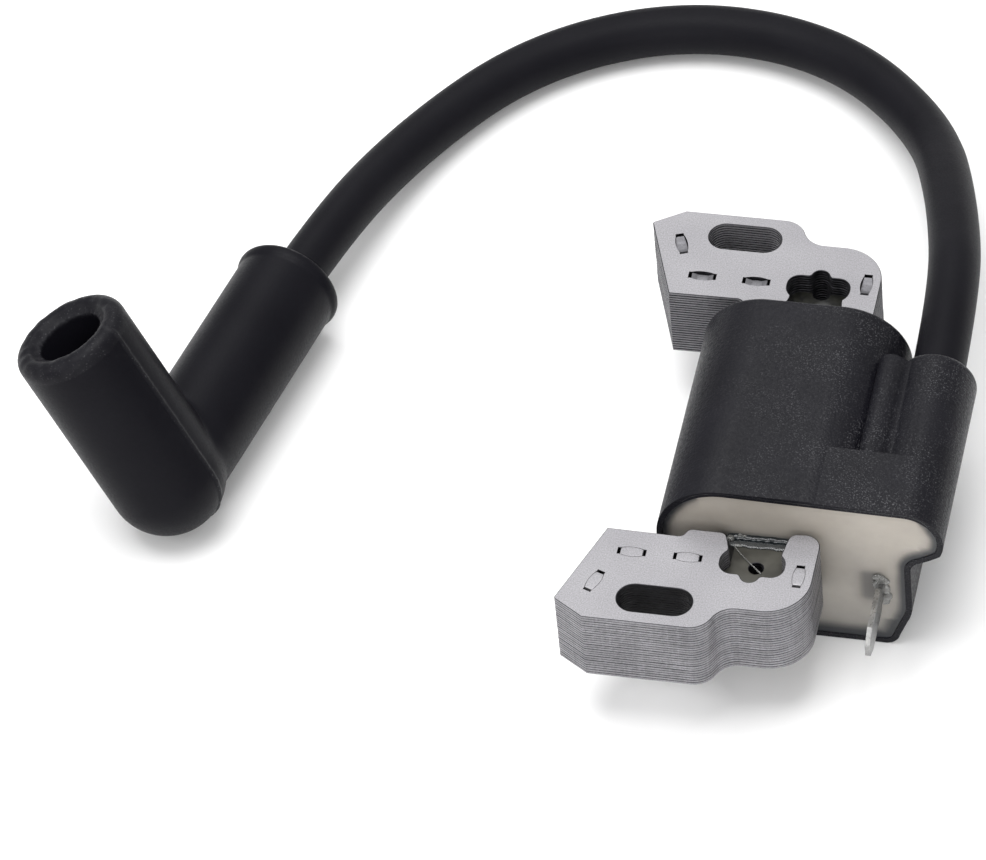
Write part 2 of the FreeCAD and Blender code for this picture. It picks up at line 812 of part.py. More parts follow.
boot = new_body("boot")
sleeve_ring = circle(0, 0, size("sleeve_round"))
section(boot, "sleeve", [sleeve_ring], "XZ", "0", "Sizes.sleeve_reach")
bead_ring = circle(0, 0, size("rim_round"))
bead_start = "Sizes.rim_length - Sizes.sleeve_reach"
section(boot, "rim_bead", [bead_ring], "XZ", bead_start, "Sizes.rim_length")
socket_ring = circle(0, 0, size("socket_round"))
section(boot, "plug_socket", [socket_ring], "XY", "0", "Sizes.socket_reach")
knee = boot.newObject("PartDesign::AdditiveSphere", "knee")
knee.setExpression("Radius", "Sizes.socket_round")
doc.recompute()


def on_sleeve_rim(edge):
    """True for the outer edge of the bead at the sleeve's rim."""
    return is_circle(edge, size("rim_round"), V(0, size("sleeve_reach"), 0))


def on_mouth_outside(edge):
    return is_circle(edge, size("socket_round"), V(0, 0, size("socket_reach")))


def on_mouth_inside(edge):
    return is_circle(edge, size("plug_bore"), V(0, 0, size("socket_reach")))


round_edges(boot, "rim_rounding", size("rim_rounding"), on_sleeve_rim)
round_edges(boot, "mouth_outside", size("mouth_outside"), on_mouth_outside)
lead_hole = circle(0, 0, size("lead_round") + size("sleeve_gap"))
section(
    boot,
    "lead_hole",
    [lead_hole],
    "XZ",
    "-Sizes.lead_stop",
    "Sizes.sleeve_reach - Sizes.lead_stop",
    cut=True,
)
shank_hole = circle(0, 0, size("shank_round") + size("shank_gap"))
section(boot, "shank_hole", [shank_hole], "XZ", "0", "Sizes.lead_stop", cut=True)
seat = circle(0, 0, size("clip_seat"))
section(
    boot, "clip_hole", [seat], "XY", "Sizes.clip_floor", "Sizes.socket_reach", cut=True
).Reversed = True
mouth_hole = circle(0, 0, size("plug_bore"))
section(
    boot, "plug_hole", [mouth_hole], "XY", "Sizes.plug_floor", "Sizes.socket_reach", cut=True
).Reversed = True
round_edges(boot, "mouth_inside", size("mouth_inside"), on_mouth_inside)

plug_clip = new_body("plug_clip")
clip_rings = [circle(0, 0, size("clip_round")), circle(0, 0, size("clip_bore"))]
clip_length = "Sizes.plug_floor - Sizes.clip_floor"
section(plug_clip, "ring", clip_rings, "XY", "Sizes.clip_floor", clip_length)
slit = turned_box(0, -size("clip_round"), size("clip_gap"), 2.0, 0)
section(
    plug_clip, "slit", [slit], "XY", "Sizes.clip_floor", clip_length, cut=True
).Reversed = True

boot_spike = new_body("boot_spike")
section(
    boot_spike,
    "shank",
    [circle(0, 0, size("shank_round"))],
    "XZ",
    "-Sizes.clip_round",
    "Sizes.lead_stop - Sizes.clip_round",
)
section(
    boot_spike,
    "spike",
    [circle(0, 0, size("strand_round"))],
    "XZ",
    "-Sizes.lead_stop",
    "Sizes.boot_spike",
)
for piece in (boot, plug_clip, boot_spike):
    piece.Placement = boot_placement

# ---------------------------------------------------------------- spark plug lead

# The lead leaves the tower towards +Y, sinks to the surface that the coil stands on, turns
# back along it in one wide bend and rises a little into the boot's sleeve.
LEAD_POINTS = [
    V(size("lead_x"), size("partition"), size("tower_z")),
    V(size("lead_x"), 28.5, size("tower_z")),
    V(16.0, 53.0, 16.0),
    V(8.5, 78.0, 7.0),
    V(-9.5, 95.5, 5.0),
    V(-34.0, 99.5, 4.2),
    V(-57.0, 89.0, 4.0),
    V(-72.5, 67.0, 4.4),
    elbow + sleeve_axis * 51.0,
    elbow + sleeve_axis * size("lead_stop"),
]

lead_path, lead_radii = rounded_path(LEAD_POINTS)
core_path, _ = rounded_path(LEAD_POINTS, size("tower_spike"), size("boot_spike"))
lead_insulation = new_feature(
    "lead_insulation", tube(lead_path, size("lead_round")).cut(tube(lead_path, size("lead_bore")))
)
lead_conductor = new_feature("lead_conductor", tube(core_path, size("strand_round")))

# ---------------------------------------------------------------- checks and files

doc.recompute()
for item in doc.Objects:
    if "Invalid" in item.State or "Error" in item.State:
        raise RuntimeError(f"{item.Label} failed: {item.State}")

pieces = [
    case,
    potting,
    front_leg,
    rear_leg,
    core_bar,
    primary_bobbin,
    primary_winding,
    primary_tape,
    secondary_bobbin,
    secondary_winding,
    module_board,
    power_transistor,
    control_transistor,
    bias_resistors,
    kill_terminal,
    high_tension_terminal,
    *wires,
    lead_insulation,
    lead_conductor,
    boot,
    plug_clip,
    boot_spike,
]
for piece in pieces:
    if piece.Shape.isNull() or not piece.Shape.isValid():
        raise RuntimeError(f"{piece.Label} has no valid shape")

print("lead: length", round(lead_path.Length, 1), "mm, bend radii", [round(r) for r in lead_radii])
ring_area = math.pi * (size("lead_round") ** 2 - size("lead_bore") ** 2)
lead_volume = ring_area * lead_path.Length
print("lead: volume over section times length", lead_insulation.Shape.Volume / lead_volume)
for piece in pieces:
    box = piece.Shape.BoundBox
    extents = ", ".join(
        f"{axis} {low:.1f}..{high:.1f}"
        for axis, low, high in (
            ("X", box.XMin, box.XMax),
            ("Y", box.YMin, box.YMax),
            ("Z", box.ZMin, box.ZMax),
        )
    )
    solids = len(piece.Shape.Solids)
    print(f"{piece.Label:24s} {solids} solids {piece.Shape.Volume:9.1f} mm3, {extents}")

os.makedirs("parts", exist_ok=True)
for piece in pieces:
    piece.Shape.exportStep(f"parts/{piece.Label}.step")
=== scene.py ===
import math
import random

import bmesh
import bpy
from mathutils import Matrix, Vector, noise
from mathutils.geometry import delaunay_2d_cdt


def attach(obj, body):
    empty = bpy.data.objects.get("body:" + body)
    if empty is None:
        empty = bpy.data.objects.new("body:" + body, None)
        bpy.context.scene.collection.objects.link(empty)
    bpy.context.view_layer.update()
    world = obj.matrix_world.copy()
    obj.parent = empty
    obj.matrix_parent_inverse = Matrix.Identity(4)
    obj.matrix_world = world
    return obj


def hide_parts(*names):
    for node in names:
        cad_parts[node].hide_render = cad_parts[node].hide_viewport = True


# Ignition coil of a small petrol engine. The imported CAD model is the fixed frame. Shapes below are
# in millimetres in that frame and become metres where a mesh or curve is made.

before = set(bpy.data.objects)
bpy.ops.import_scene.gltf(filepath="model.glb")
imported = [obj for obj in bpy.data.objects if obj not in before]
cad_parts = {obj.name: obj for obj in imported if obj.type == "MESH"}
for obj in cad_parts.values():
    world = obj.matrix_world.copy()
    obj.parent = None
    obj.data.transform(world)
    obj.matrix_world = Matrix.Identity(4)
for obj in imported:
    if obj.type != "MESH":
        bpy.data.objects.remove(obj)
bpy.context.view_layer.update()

MM = 0.001
random.seed(7)

# ---------------------------------------------------------------- outlines


def through(start, middle, end, spacing):
    """Points of the arc from start through middle to end, without its start."""
    ax, ay = start
    bx, by = middle
    cx, cy = end
    d = 2 * (ax * (by - cy) + bx * (cy - ay) + cx * (ay - by))
    a2, b2, c2 = ax * ax + ay * ay, bx * bx + by * by, cx * cx + cy * cy
    ux = (a2 * (by - cy) + b2 * (cy - ay) + c2 * (ay - by)) / d
    uy = (a2 * (cx - bx) + b2 * (ax - cx) + c2 * (bx - ax)) / d
    radius = math.hypot(ax - ux, ay - uy)
    first = math.atan2(ay - uy, ax - ux)
    last = math.atan2(cy - uy, cx - ux)
    turn = (last - first) % math.tau
    if d < 0:
        turn -= math.tau
    count = max(3, math.ceil(abs(turn) * radius / spacing))
    return [
        (ux + radius * math.cos(first + turn * i / count), uy + radius * math.sin(first + turn * i / count))
        for i in range(1, count + 1)
    ]


def outline(start, *steps, spacing=0.35):
    """A closed loop. A step is (x, y) for a line or (middle x, middle y, x, y) for an arc."""
    points = [start]
    for step in steps:
        if len(step) == 4:
            points += through(points[-1], step[:2], step[2:], spacing)
        else:
            points.append(step)
    if math.dist(points[0], points[-1]) < 1e-6:
        points.pop()
    return points


def s_bend(start, end):
    """Two equal arcs that leave start and reach end along X: the steps of an outline."""
    run, rise = end[0] - start[0], end[1] - start[1]
    radius = (run**2 + rise**2) / (4 * abs(rise))
    half_turn = math.atan(abs(rise / run))
    dx = math.copysign(radius * math.sin(half_turn), run)
    dy = math.copysign(radius * (1 - math.cos(half_turn)), rise)
    centre = (start[0] + run / 2, start[1] + rise / 2)
    return (start[0] + dx, start[1] + dy, *centre), (end[0] - dx, end[1] - dy, *end)


def area(loop):
    return sum(a[0] * b[1] - b[0] * a[1] for a, b in zip(loop, loop[1:] + loop[:1])) / 2


def wound(loop, left):
    """The loop, running anticlockwise if left is true, else clockwise."""
    return list(loop) if (area(loop) > 0) == left else list(reversed(loop))


def moved_in(loop, distance):
    """The loop, moved to the left of its direction, which is into the material."""
    moved = []
    for before, here, after in zip(loop[-1:] + loop[:-1], loop, loop[1:] + loop[:1]):
        along = Vector((here[0] - before[0], here[1] - before[1])).normalized()
        ahead = Vector((after[0] - here[0], after[1] - here[1])).normalized()
        side = Vector((-along.y - ahead.y, along.x + ahead.x)).normalized()
        lift = max(0.5, side.dot(Vector((-along.y, along.x))))
        moved.append((here[0] + side.x * distance / lift, here[1] + side.y * distance / lift))
    return moved


def inside(point, loop):
    x, y = point
    hit = False
    for (ax, ay), (bx, by) in zip(loop, loop[1:] + loop[:1]):
        if (ay > y) != (by > y) and x < (bx - ax) * (y - ay) / (by - ay) + ax:
            hit = not hit
    return hit


def distance_to(point, loop):
    """Distance from the point to the nearest side of the loop."""
    x, y = point
    best = 1e9
    for (ax, ay), (bx, by) in zip(loop, loop[1:] + loop[:1]):
        dx, dy = bx - ax, by - ay
        t = ((x - ax) * dx + (y - ay) * dy) / max(dx * dx + dy * dy, 1e-12)
        t = min(1, max(0, t))
        best = min(best, math.hypot(x - ax - t * dx, y - ay - t * dy))
    return best


# ---------------------------------------------------------------- meshes


class Mesh:
    """Collects points in millimetres, faces and their material numbers for one piece."""

    def __init__(self):
        self.points = []
        self.faces = []
        self.looks = []

    def ring(self, points):
        start = len(self.points)
        self.points += [tuple(p) for p in points]
        return list(range(start, len(self.points)))

    def face(self, corners, look=0):
        self.faces.append(tuple(corners))
        self.looks.append(look)

    def bridge(self, first, second, look=0, closed=True):
        """Quads between two rings of the same count."""
        n = len(first)
        for i in range(n if closed else n - 1):
            j = (i + 1) % n
            self.face((first[i], first[j], second[j], second[i]), look)

    def fan(self, ring, centre, look=0):
        tip = self.ring([centre])[0]
        for a, b in zip(ring, ring[1:] + ring[:1]):
            self.face((a, b, tip), look)

    def turned(self, profile, place, count):
        """A closed solid: (radius, height) points from axis to axis, turned round the axis."""
        spokes = [(math.cos(math.tau * i / count), math.sin(math.tau * i / count)) for i in range(count)]
        rings = [self.ring([place(r * c, r * s, h) for c, s in spokes]) for r, h in profile[1:-1]]
        for first, second in zip(rings, rings[1:]):
            self.bridge(first, second)
        self.fan(rings[0][::-1], place(0, 0, profile[0][1]))
        self.fan(rings[-1], place(0, 0, profile[-1][1]))

    def cap(self, loops, rings, up, look=0, extra=()):
        """Triangles between an outer loop and its holes. Extra are (x, y, index) inside it."""
        flat = [p for loop in loops for p in loop]
        index = [i for ring in rings for i in ring]
        flat += [(x, y) for x, y, _ in extra]
        index += [i for _, _, i in extra]
        edges = []
        start = 0
        for loop in loops:
            n = len(loop)
            edges += [(start + i, start + (i + 1) % n) for i in range(n)]
            start += n
        made = delaunay_2d_cdt([Vector(p) for p in flat], edges, [], 0, 1e-7)
        for triangle in made[2]:
            corners = [made[3][i][0] for i in triangle]
            middle = (
                sum(flat[i][0] for i in corners) / 3,
                sum(flat[i][1] for i in corners) / 3,
            )
            if inside(middle, loops[0]) and not any(inside(middle, hole) for hole in loops[1:]):
                if not up:
                    corners.reverse()
                self.face([index[i] for i in corners], look)

    def data(self, name, materials=(), smooth_angle=35):
        """The mesh in metres."""
        mesh = bpy.data.meshes.new(name)
        mesh.from_pydata([[c * MM for c in p] for p in self.points], [], self.faces)
        for material in materials:
            mesh.materials.append(material)
        mesh.polygons.foreach_set("material_index", self.looks)
        mesh.polygons.foreach_set("use_smooth", [True] * len(mesh.polygons))
        mesh.validate()
        mesh.set_sharp_from_angle(angle=math.radians(smooth_angle))
        return mesh


def put(name, mesh, body="coil", replaces=()):
    """Makes a visible piece of the mesh, on a body and in place of the CAD nodes that it replaces."""
    made = bpy.data.objects.new(name, mesh)
    bpy.context.scene.collection.objects.link(made)
    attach(made, body)
    if replaces:
        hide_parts(*replaces)
    return made


def fused(name, solids, voxel, passes):
    """One closed skin round overlapping solids, with its edges eased by smoothing passes."""
    shape = bpy.data.objects.new(name, solids.data(name))
    bpy.context.scene.collection.objects.link(shape)
    skin = shape.modifiers.new("skin", "REMESH")
    skin.mode = "VOXEL"
    skin.voxel_size = voxel * MM
    skin.use_smooth_shade = True
    ease = shape.modifiers.new("ease", "SMOOTH")
    ease.iterations = passes
    view = bpy.context.evaluated_depsgraph_get()
    mesh = bpy.data.meshes.new_from_object(shape.evaluated_get(view))
    bpy.data.objects.remove(shape)
    return mesh


def shade_points(mesh, name, values):
    """Gives the mesh a value at each point, for its material to read."""
    shades = mesh.attributes.new(name, "FLOAT", "POINT")
    shades.data.foreach_set("value", values)


def fade(distance, width):
    """1 at no distance, falling softly to nearly 0 at twice the width."""
    return math.exp(-((distance / width) ** 2))


# ---------------------------------------------------------------- finishes


SOCKETS = {
    "coat_weight": "Coat Weight",
    "coat_roughness": "Coat Roughness",
    "specular": "Specular IOR Level",
    "transmission": "Transmission Weight",
    "subsurface": "Subsurface Weight",
    "subsurface_scale": "Subsurface Scale",
    "ior": "IOR",
}


class Finish:
    """A material's node tree. Textures are placed in millimetres in the CAD frame."""

    def __init__(self, name, **settings):
        self.material = bpy.data.materials.new(name)
        self.material.use_nodes = True
        self.tree = self.material.node_tree
        self.shader = self.tree.nodes["Principled BSDF"]
        for key, value in settings.items():
            self.shader.inputs[SOCKETS.get(key, key.capitalize())].default_value = value
        place = self.tree.nodes.new("ShaderNodeTexCoord")
        scaled = self.tree.nodes.new("ShaderNodeVectorMath")
        scaled.operation = "SCALE"
        scaled.inputs["Scale"].default_value = 1 / MM
        self.tree.links.new(place.outputs["Object"], scaled.inputs[0])
        self.place = scaled.outputs[0]

    def link(self, source, socket):
        if isinstance(source, (int, float, tuple)):
            socket.default_value = source
        else:
            self.tree.links.new(source, socket)

    def set(self, name, source):
        self.link(source, self.shader.inputs[name])

    def stretched(self, x, y, z):
        node = self.tree.nodes.new("ShaderNodeVectorMath")
        node.operation = "MULTIPLY"
        node.inputs[1].default_value = (x, y, z)
        self.tree.links.new(self.place, node.inputs[0])
        return node.outputs[0]

    def noise(self, scale, detail=2.0, place=None):
        """Soft noise with about `scale` lumps in a millimetre."""
        node = self.tree.nodes.new("ShaderNodeTexNoise")
        node.inputs["Scale"].default_value = scale
        node.inputs["Detail"].default_value = detail
        self.tree.links.new(place or self.place, node.inputs["Vector"])
        return node.outputs["Fac"]

    def shade(self, name):
        node = self.tree.nodes.new("ShaderNodeAttribute")
        node.attribute_name = name
        return node.outputs["Fac"]

    def ramp(self, value, *stops):
        """Maps a value through (place, colour or grey) stops."""
        node = self.tree.nodes.new("ShaderNodeValToRGB")
        elements = node.color_ramp.elements
        while len(elements) < len(stops):
            elements.new(0.5)
        for element, (position, colour) in zip(elements, stops):
            element.position = position
            element.color = (*colour, 1) if isinstance(colour, tuple) else (colour, colour, colour, 1)
        self.tree.links.new(value, node.inputs["Fac"])
        return node.outputs["Color"]

    def along(self, axis, start, end):
        """0 to 1 along an axis of the CAD frame, from start to end in millimetres."""
        sides = self.tree.nodes.new("ShaderNodeSeparateXYZ")
        self.tree.links.new(self.place, sides.inputs[0])
        node = self.tree.nodes.new("ShaderNodeMapRange")
        node.inputs["From Min"].default_value = start
        node.inputs["From Max"].default_value = end
        self.tree.links.new(sides.outputs[axis], node.inputs["Value"])
        return node.outputs["Result"]

    def mix(self, factor, first, second, blend="MIX"):
        node = self.tree.nodes.new("ShaderNodeMix")
        node.data_type = "RGBA"
        node.blend_type = blend
        self.link(factor, node.inputs["Factor"])
        self.link((*first, 1) if isinstance(first, tuple) else first, node.inputs["A"])
        self.link((*second, 1) if isinstance(second, tuple) else second, node.inputs["B"])
        return node.outputs["Result"]

    def bump(self, height, depth, strength=1.0):
        """A bump of that depth in millimetres, on top of any that is there."""
        node = self.tree.nodes.new("ShaderNodeBump")
        node.inputs["Strength"].default_value = strength
        node.inputs["Distance"].default_value = depth * MM
        self.tree.links.new(height, node.inputs["Height"])
        normal = self.shader.inputs["Normal"]
        if normal.is_linked:
            self.tree.links.new(normal.links[0].from_socket, node.inputs["Normal"])
        self.tree.links.new(node.outputs["Normal"], normal)


def steel(name, light, dark, roughness, streaks):
    """Tumbled sheet steel: fine speckle, faint clouds and, on cut edges, a tone for each sheet."""
    finish = Finish(name, metallic=0.5)
    clouds = finish.noise(0.1, 2.0)
    speckle = finish.noise(5.0, 3.0)
    tone = finish.ramp(clouds, (0.3, dark), (0.7, light))
    tone = finish.mix(0.6, tone, finish.ramp(speckle, (0.3, 0.3), (0.5, 0.5), (0.7, 0.7)), "OVERLAY")
    if streaks:
        sheets = finish.noise(1.0, 3.0, finish.stretched(0.2, 0.2, 2.1))
        tone = finish.mix(streaks, tone, finish.ramp(sheets, (0.3, 0.32), (0.7, 0.68)), "OVERLAY")
        drag = finish.noise(1.0, 2.0, finish.stretched(2.2, 2.2, 0.12))
        tone = finish.mix(streaks, tone, finish.ramp(drag, (0.3, 0.4), (0.7, 0.6)), "OVERLAY")
    finish.set("Base Color", tone)
    finish.set("Roughness", finish.ramp(speckle, (0.3, roughness - 0.08), (0.7, roughness + 0.1)))
    finish.bump(finish.noise(0.6, 3.0), 0.04, 0.4)
    finish.bump(speckle, 0.03, 0.8)
    return finish.material


def make_varnished():
    """The bar inside a leg's socket, under a film of varnish, with painted shade that makes it nearly black
    at the rear, in the socket beside the case.
    """
    finish = Finish("varnished_steel", metallic=0.35, coat_weight=0.45, coat_roughness=0.15)
    across = finish.noise(0.22, 2.0)
    front = finish.ramp(across, (0.3, (0.032, 0.031, 0.026)), (0.7, (0.098, 0.096, 0.082)))
    # Painted shade: the rear end, in its socket beside the case, is made nearly black.
    rear = finish.ramp(finish.noise(0.8, 2.0), (0.3, (0.004, 0.004, 0.004)), (0.7, (0.02, 0.02, 0.015)))
    finish.set("Base Color", finish.mix(finish.along("Y", 0, 5), front, rear))
    finish.set("Roughness", finish.ramp(finish.noise(2.0), (0.3, 0.28), (0.7, 0.45)))
    finish.bump(finish.noise(0.8, 2.0), 0.06, 0.5)
    return finish.material


def make_case_plastic():
    """Charcoal moulded plastic with a fine grain, and light specks painted into its colour as glints."""
    finish = Finish("case_plastic", specular=0.17)
    grain = finish.noise(2.6, 3.0)
    dark, light = (0.0031, 0.003, 0.0052), (0.005, 0.0048, 0.0078)
    tone = finish.ramp(finish.noise(0.1, 3.0), (0.3, dark), (0.7, light))
    # Painted glints: light specks in the colour, kept to patches and stronger towards +X, where the light
    # falls.
    glint_spots = finish.ramp(finish.noise(4.5, 2.0), (0.55, 0.0), (0.72, 1.0))
    lit_patches = finish.ramp(finish.noise(0.16, 2.0), (0.38, 0.25), (0.6, 1.0))
    painted_glints = finish.mix(1.0, glint_spots, lit_patches, "MULTIPLY")
    lit_rightwards = finish.ramp(finish.along("X", -12, 14), (0.0, 0.15), (0.9, 1.0))
    painted_glints = finish.mix(1.0, painted_glints, lit_rightwards, "MULTIPLY")
    finish.set("Base Color", finish.mix(painted_glints, tone, (0.075, 0.075, 0.081)))
    finish.set("Roughness", finish.ramp(grain, (0.35, 0.34), (0.65, 0.56)))
    finish.bump(grain, 0.1, 0.8)
    finish.bump(finish.noise(0.35, 2.0), 0.08, 0.3)
    return finish.material


def make_epoxy():
    """Cream potting, lighter towards its top. The shade attribute darkens it, partly where it is thin over
    the black case and partly as painted shade along the rim, under the tower's lip and round the bar and the
    terminal's root.
    """
    finish = Finish("epoxy", roughness=0.36, subsurface=0.12, subsurface_scale=1.5 * MM)
    finish.shader.inputs["Subsurface Radius"].default_value = (1.0, 0.8, 0.55)
    height = finish.along("Z", 5, 24)
    tone = finish.mix(height, (0.255, 0.24, 0.218), (0.37, 0.338, 0.298))
    tone = finish.mix(0.3, tone, finish.ramp(finish.noise(0.09, 3.0), (0.3, 0.42), (0.7, 0.58)), "OVERLAY")
    tone = finish.mix(0.25, tone, finish.ramp(finish.noise(0.5, 3.0), (0.3, 0.44), (0.7, 0.56)), "OVERLAY")
    # Darkening from the shade attribute: partly thin epoxy over the black case, partly painted shade.
    thin = finish.ramp(finish.shade("thin"), (0.0, 0.0), (0.3, 0.2), (0.62, 0.68), (0.9, 0.98))
    finish.set("Base Color", finish.mix(thin, tone, (0.017, 0.019, 0.023)))
    finish.bump(finish.noise(0.25, 3.0), 0.25, 0.3)
    finish.bump(finish.noise(3.0, 2.0), 0.02, 0.4)
    return finish.material


def make_clear_epoxy(name, colour):
    """Beads of unfilled epoxy: greyish, glossy and partly see-through."""
    finish = Finish(name, roughness=0.12, transmission=0.6, ior=1.45, coat_weight=0.3)
    dark = tuple(0.55 * c for c in colour)
    finish.set("Base Color", finish.ramp(finish.noise(0.9, 3.0), (0.3, dark), (0.7, colour)))
    finish.bump(finish.noise(0.7, 1.0), 0.08, 0.3)
    return finish.material


def rubber(name, dark, light, roughness, grain):
    """Black rubber. The worn attribute says where it is lightened in specks: partly scuffs, partly a painted
    highlight on the parting ridge, the flash and the mouth.
    """
    finish = Finish(name, specular=0.08)
    tone = finish.ramp(finish.noise(0.08, 4.0), (0.3, dark), (0.7, light))
    scuffs = finish.ramp(finish.noise(3.5, 2.0), (0.62, 0.12), (0.74, 1.0))
    # Lighter specks where the worn attribute is high: partly scuffs, partly a painted highlight.
    scuffs_and_highlight = finish.mix(scuffs, tone, (0.09, 0.09, 0.095))
    finish.set("Base Color", finish.mix(finish.shade("worn"), tone, scuffs_and_highlight))
    fine = finish.noise(grain, 3.0)
    finish.set("Roughness", finish.ramp(fine, (0.3, roughness - 0.07), (0.7, roughness + 0.08)))
    finish.bump(fine, 0.03, 0.4)
    finish.bump(finish.noise(0.3, 3.0), 0.12, 0.35)
    return finish.material


def metal(name, dark, light, roughness, scale=0.8, metallic=1.0):
    """A lightly mottled surface of any metal, or of a plastic where metallic is 0."""
    finish = Finish(name, metallic=metallic)
    finish.set("Base Color", finish.ramp(finish.noise(scale, 3.0), (0.3, dark), (0.7, light)))
    finish.set("Roughness", finish.ramp(finish.noise(3.0), (0.3, roughness - 0.08), (0.7, roughness + 0.12)))
    finish.bump(finish.noise(2.0, 3.0), 0.03, 0.5)
    return finish.material


def moulding(name, dark, light, roughness):
    return metal(name, dark, light, roughness, 0.3, 0.0)


def make_windings():
    """Enamelled copper wire, wound round the Y axis."""
    finish = Finish("copper_turns", metallic=0.9)
    turns = finish.tree.nodes.new("ShaderNodeTexWave")
    turns.bands_direction = "Y"
    turns.inputs["Scale"].default_value = 0.7
    finish.tree.links.new(finish.place, turns.inputs["Vector"])
    shaded, lit = (0.16, 0.045, 0.02), (0.6, 0.22, 0.09)
    finish.set("Base Color", finish.ramp(turns.outputs["Fac"], (0.1, shaded), (0.8, lit)))
    finish.set("Roughness", finish.ramp(finish.noise(1.0), (0.3, 0.25), (0.7, 0.4)))
    finish.bump(turns.outputs["Fac"], 0.1, 0.8)
    return finish.material


STEEL_TOP = steel("core_steel_face", (0.285, 0.28, 0.294), (0.255, 0.25, 0.264), 0.42, 0.0)
STEEL_EDGE = steel("core_steel_edge", (0.235, 0.232, 0.245), (0.19, 0.187, 0.2), 0.42, 0.6)
STEEL_SHADED = steel("core_steel_edge_shaded", (0.19, 0.188, 0.2), (0.155, 0.153, 0.165), 0.5, 0.25)
# Painted shade: very dark steel for the walls inside the front leg's slot.
STEEL_SLOT_SHADE = steel("core_steel_slot_shade", (0.035, 0.034, 0.037), (0.02, 0.019, 0.021), 0.5, 0.25)
# Near-black steel: the dark grooves between sheets, and painted shade in the stake slits, the rivet holes and
# the rear leg's socket.
STEEL_GROOVE_AND_SHADE = metal("core_steel_groove_and_shade", (0.016, 0.016, 0.018), (0.055, 0.054, 0.06), 0.5)
VARNISHED = make_varnished()
CASE = make_case_plastic()
EPOXY = make_epoxy()
CLEAR = make_clear_epoxy("clear_epoxy", (0.40, 0.40, 0.385))
THIN_CLEAR = make_clear_epoxy("thin_clear_epoxy", (0.15, 0.16, 0.165))
DARK_CLEAR = make_clear_epoxy("dark_clear_epoxy", (0.03, 0.042, 0.05))
LEAD = rubber("lead_rubber", (0.0048, 0.0046, 0.0066), (0.007, 0.0068, 0.0092), 0.5, 5.0)
BOOT = rubber("boot_rubber", (0.0038, 0.0036, 0.0056), (0.006, 0.0058, 0.0082), 0.42, 3.0)
TIN = metal("tinned_steel", (0.2, 0.2, 0.2), (0.36, 0.36, 0.355), 0.32)
BRASS = metal("brass", (0.45, 0.30, 0.10), (0.70, 0.50, 0.22), 0.3)
COPPER = make_windings()
STRAND = metal("copper_strand", (0.50, 0.20, 0.09), (0.72, 0.32, 0.17), 0.3)
BOBBIN = moulding("bobbin_plastic", (0.30, 0.27, 0.20), (0.40, 0.36, 0.28), 0.5)
TAPE = moulding("winding_tape", (0.55, 0.42, 0.10), (0.68, 0.55, 0.18), 0.35)
BOARD = moulding("circuit_board", (0.02, 0.10, 0.045), (0.03, 0.16, 0.07), 0.4)
COMPONENT = moulding("component_body", (0.012, 0.012, 0.013), (0.03, 0.03, 0.032), 0.4)

# ---------------------------------------------------------------- core

# Sheets are stacked from the floor of the legs upwards.
SHEET = 0.5
LEG_FLOOR = 10.5
LEG_SHEETS = 25
BAR_SHEETS = 18
SLOT_Y = 36.0
# Each stake's middle, and the turn of its slit from X in degrees.
STAKES = ((-21.75, 33.64, 110.2), (-17.48, 27.51, 0), (-9.34, 27.44, 0), (6.98, 28.88, 90))
# The bar: half its width at the neck and at the lobe, its end, and its rivet holes.
BAR_HALF = 3.85
BAR_LOBE = 4.65
BAR_REACH = 29.55
RIVET_Y = 25.2
RIVET_ROUND = 1.1
# The lobe: its corners' radius, and how far back from the end its shoulder and its neck lie. The
# curve between those two has its middle a little in from the lobe's side.
LOBE_CORNER = 1.9
LOBE_SHOULDER = 2.4
LOBE_CURVE_IN = 0.21
LOBE_CURVE_BACK = 3.38
LOBE_NECK = 4.2
# The socket in a leg: its gap round the bar, where it opens, and the notch in its end.
CORE_GAP = 0.03
THROAT = 24.8
NOTCH_ROUND = 1.35
KEY_FILLET = 0.7


def lobe_steps(gap):
    """One end of the bar from its neck round the lobe to the end, on the +X side."""
    neck, lobe, end = BAR_HALF + gap, BAR_LOBE + gap, BAR_REACH + gap
    bend = LOBE_CORNER * (1 - math.sqrt(0.5))
    return [
        (neck, end - LOBE_NECK),
        (lobe - LOBE_CURVE_IN, end - LOBE_CURVE_BACK, lobe, end - LOBE_SHOULDER),
        (lobe, end - LOBE_CORNER),
        (lobe - bend, end - bend, lobe - LOBE_CORNER, end),
    ]


def mirrored(steps):
    """The same steps on the other side of the Y axis."""
    return [tuple(-value if i % 2 == 0 else value for i, value in enumerate(step)) for step in steps]


def back(steps):
    """The same steps taken the other way round."""
    middles = [step[:-2] for step in steps[:0:-1]]
    return [(*middle, *step[-2:]) for middle, step in zip([(), *middles], steps[::-1])]


def key_steps(end):
    """A socket's round end notch with filleted edges, from its -X side to its +X side."""
    reach = NOTCH_ROUND + KEY_FILLET
    fillet_x = math.sqrt(reach**2 - KEY_FILLET**2)
    touch_x = fillet_x * NOTCH_ROUND / reach
    touch_y = KEY_FILLET * NOTCH_ROUND / reach
    half_turn = math.acos(KEY_FILLET / reach) / 2
    middle_x = fillet_x - KEY_FILLET * math.sin(half_turn)
    middle_y = KEY_FILLET * (1 - math.cos(half_turn))
    return [
        (-fillet_x, end),
        (-middle_x, end + middle_y, -touch_x, end + touch_y),
        (0, end + NOTCH_ROUND, touch_x, end + touch_y),
        (middle_x, end + middle_y, fillet_x, end),
    ]


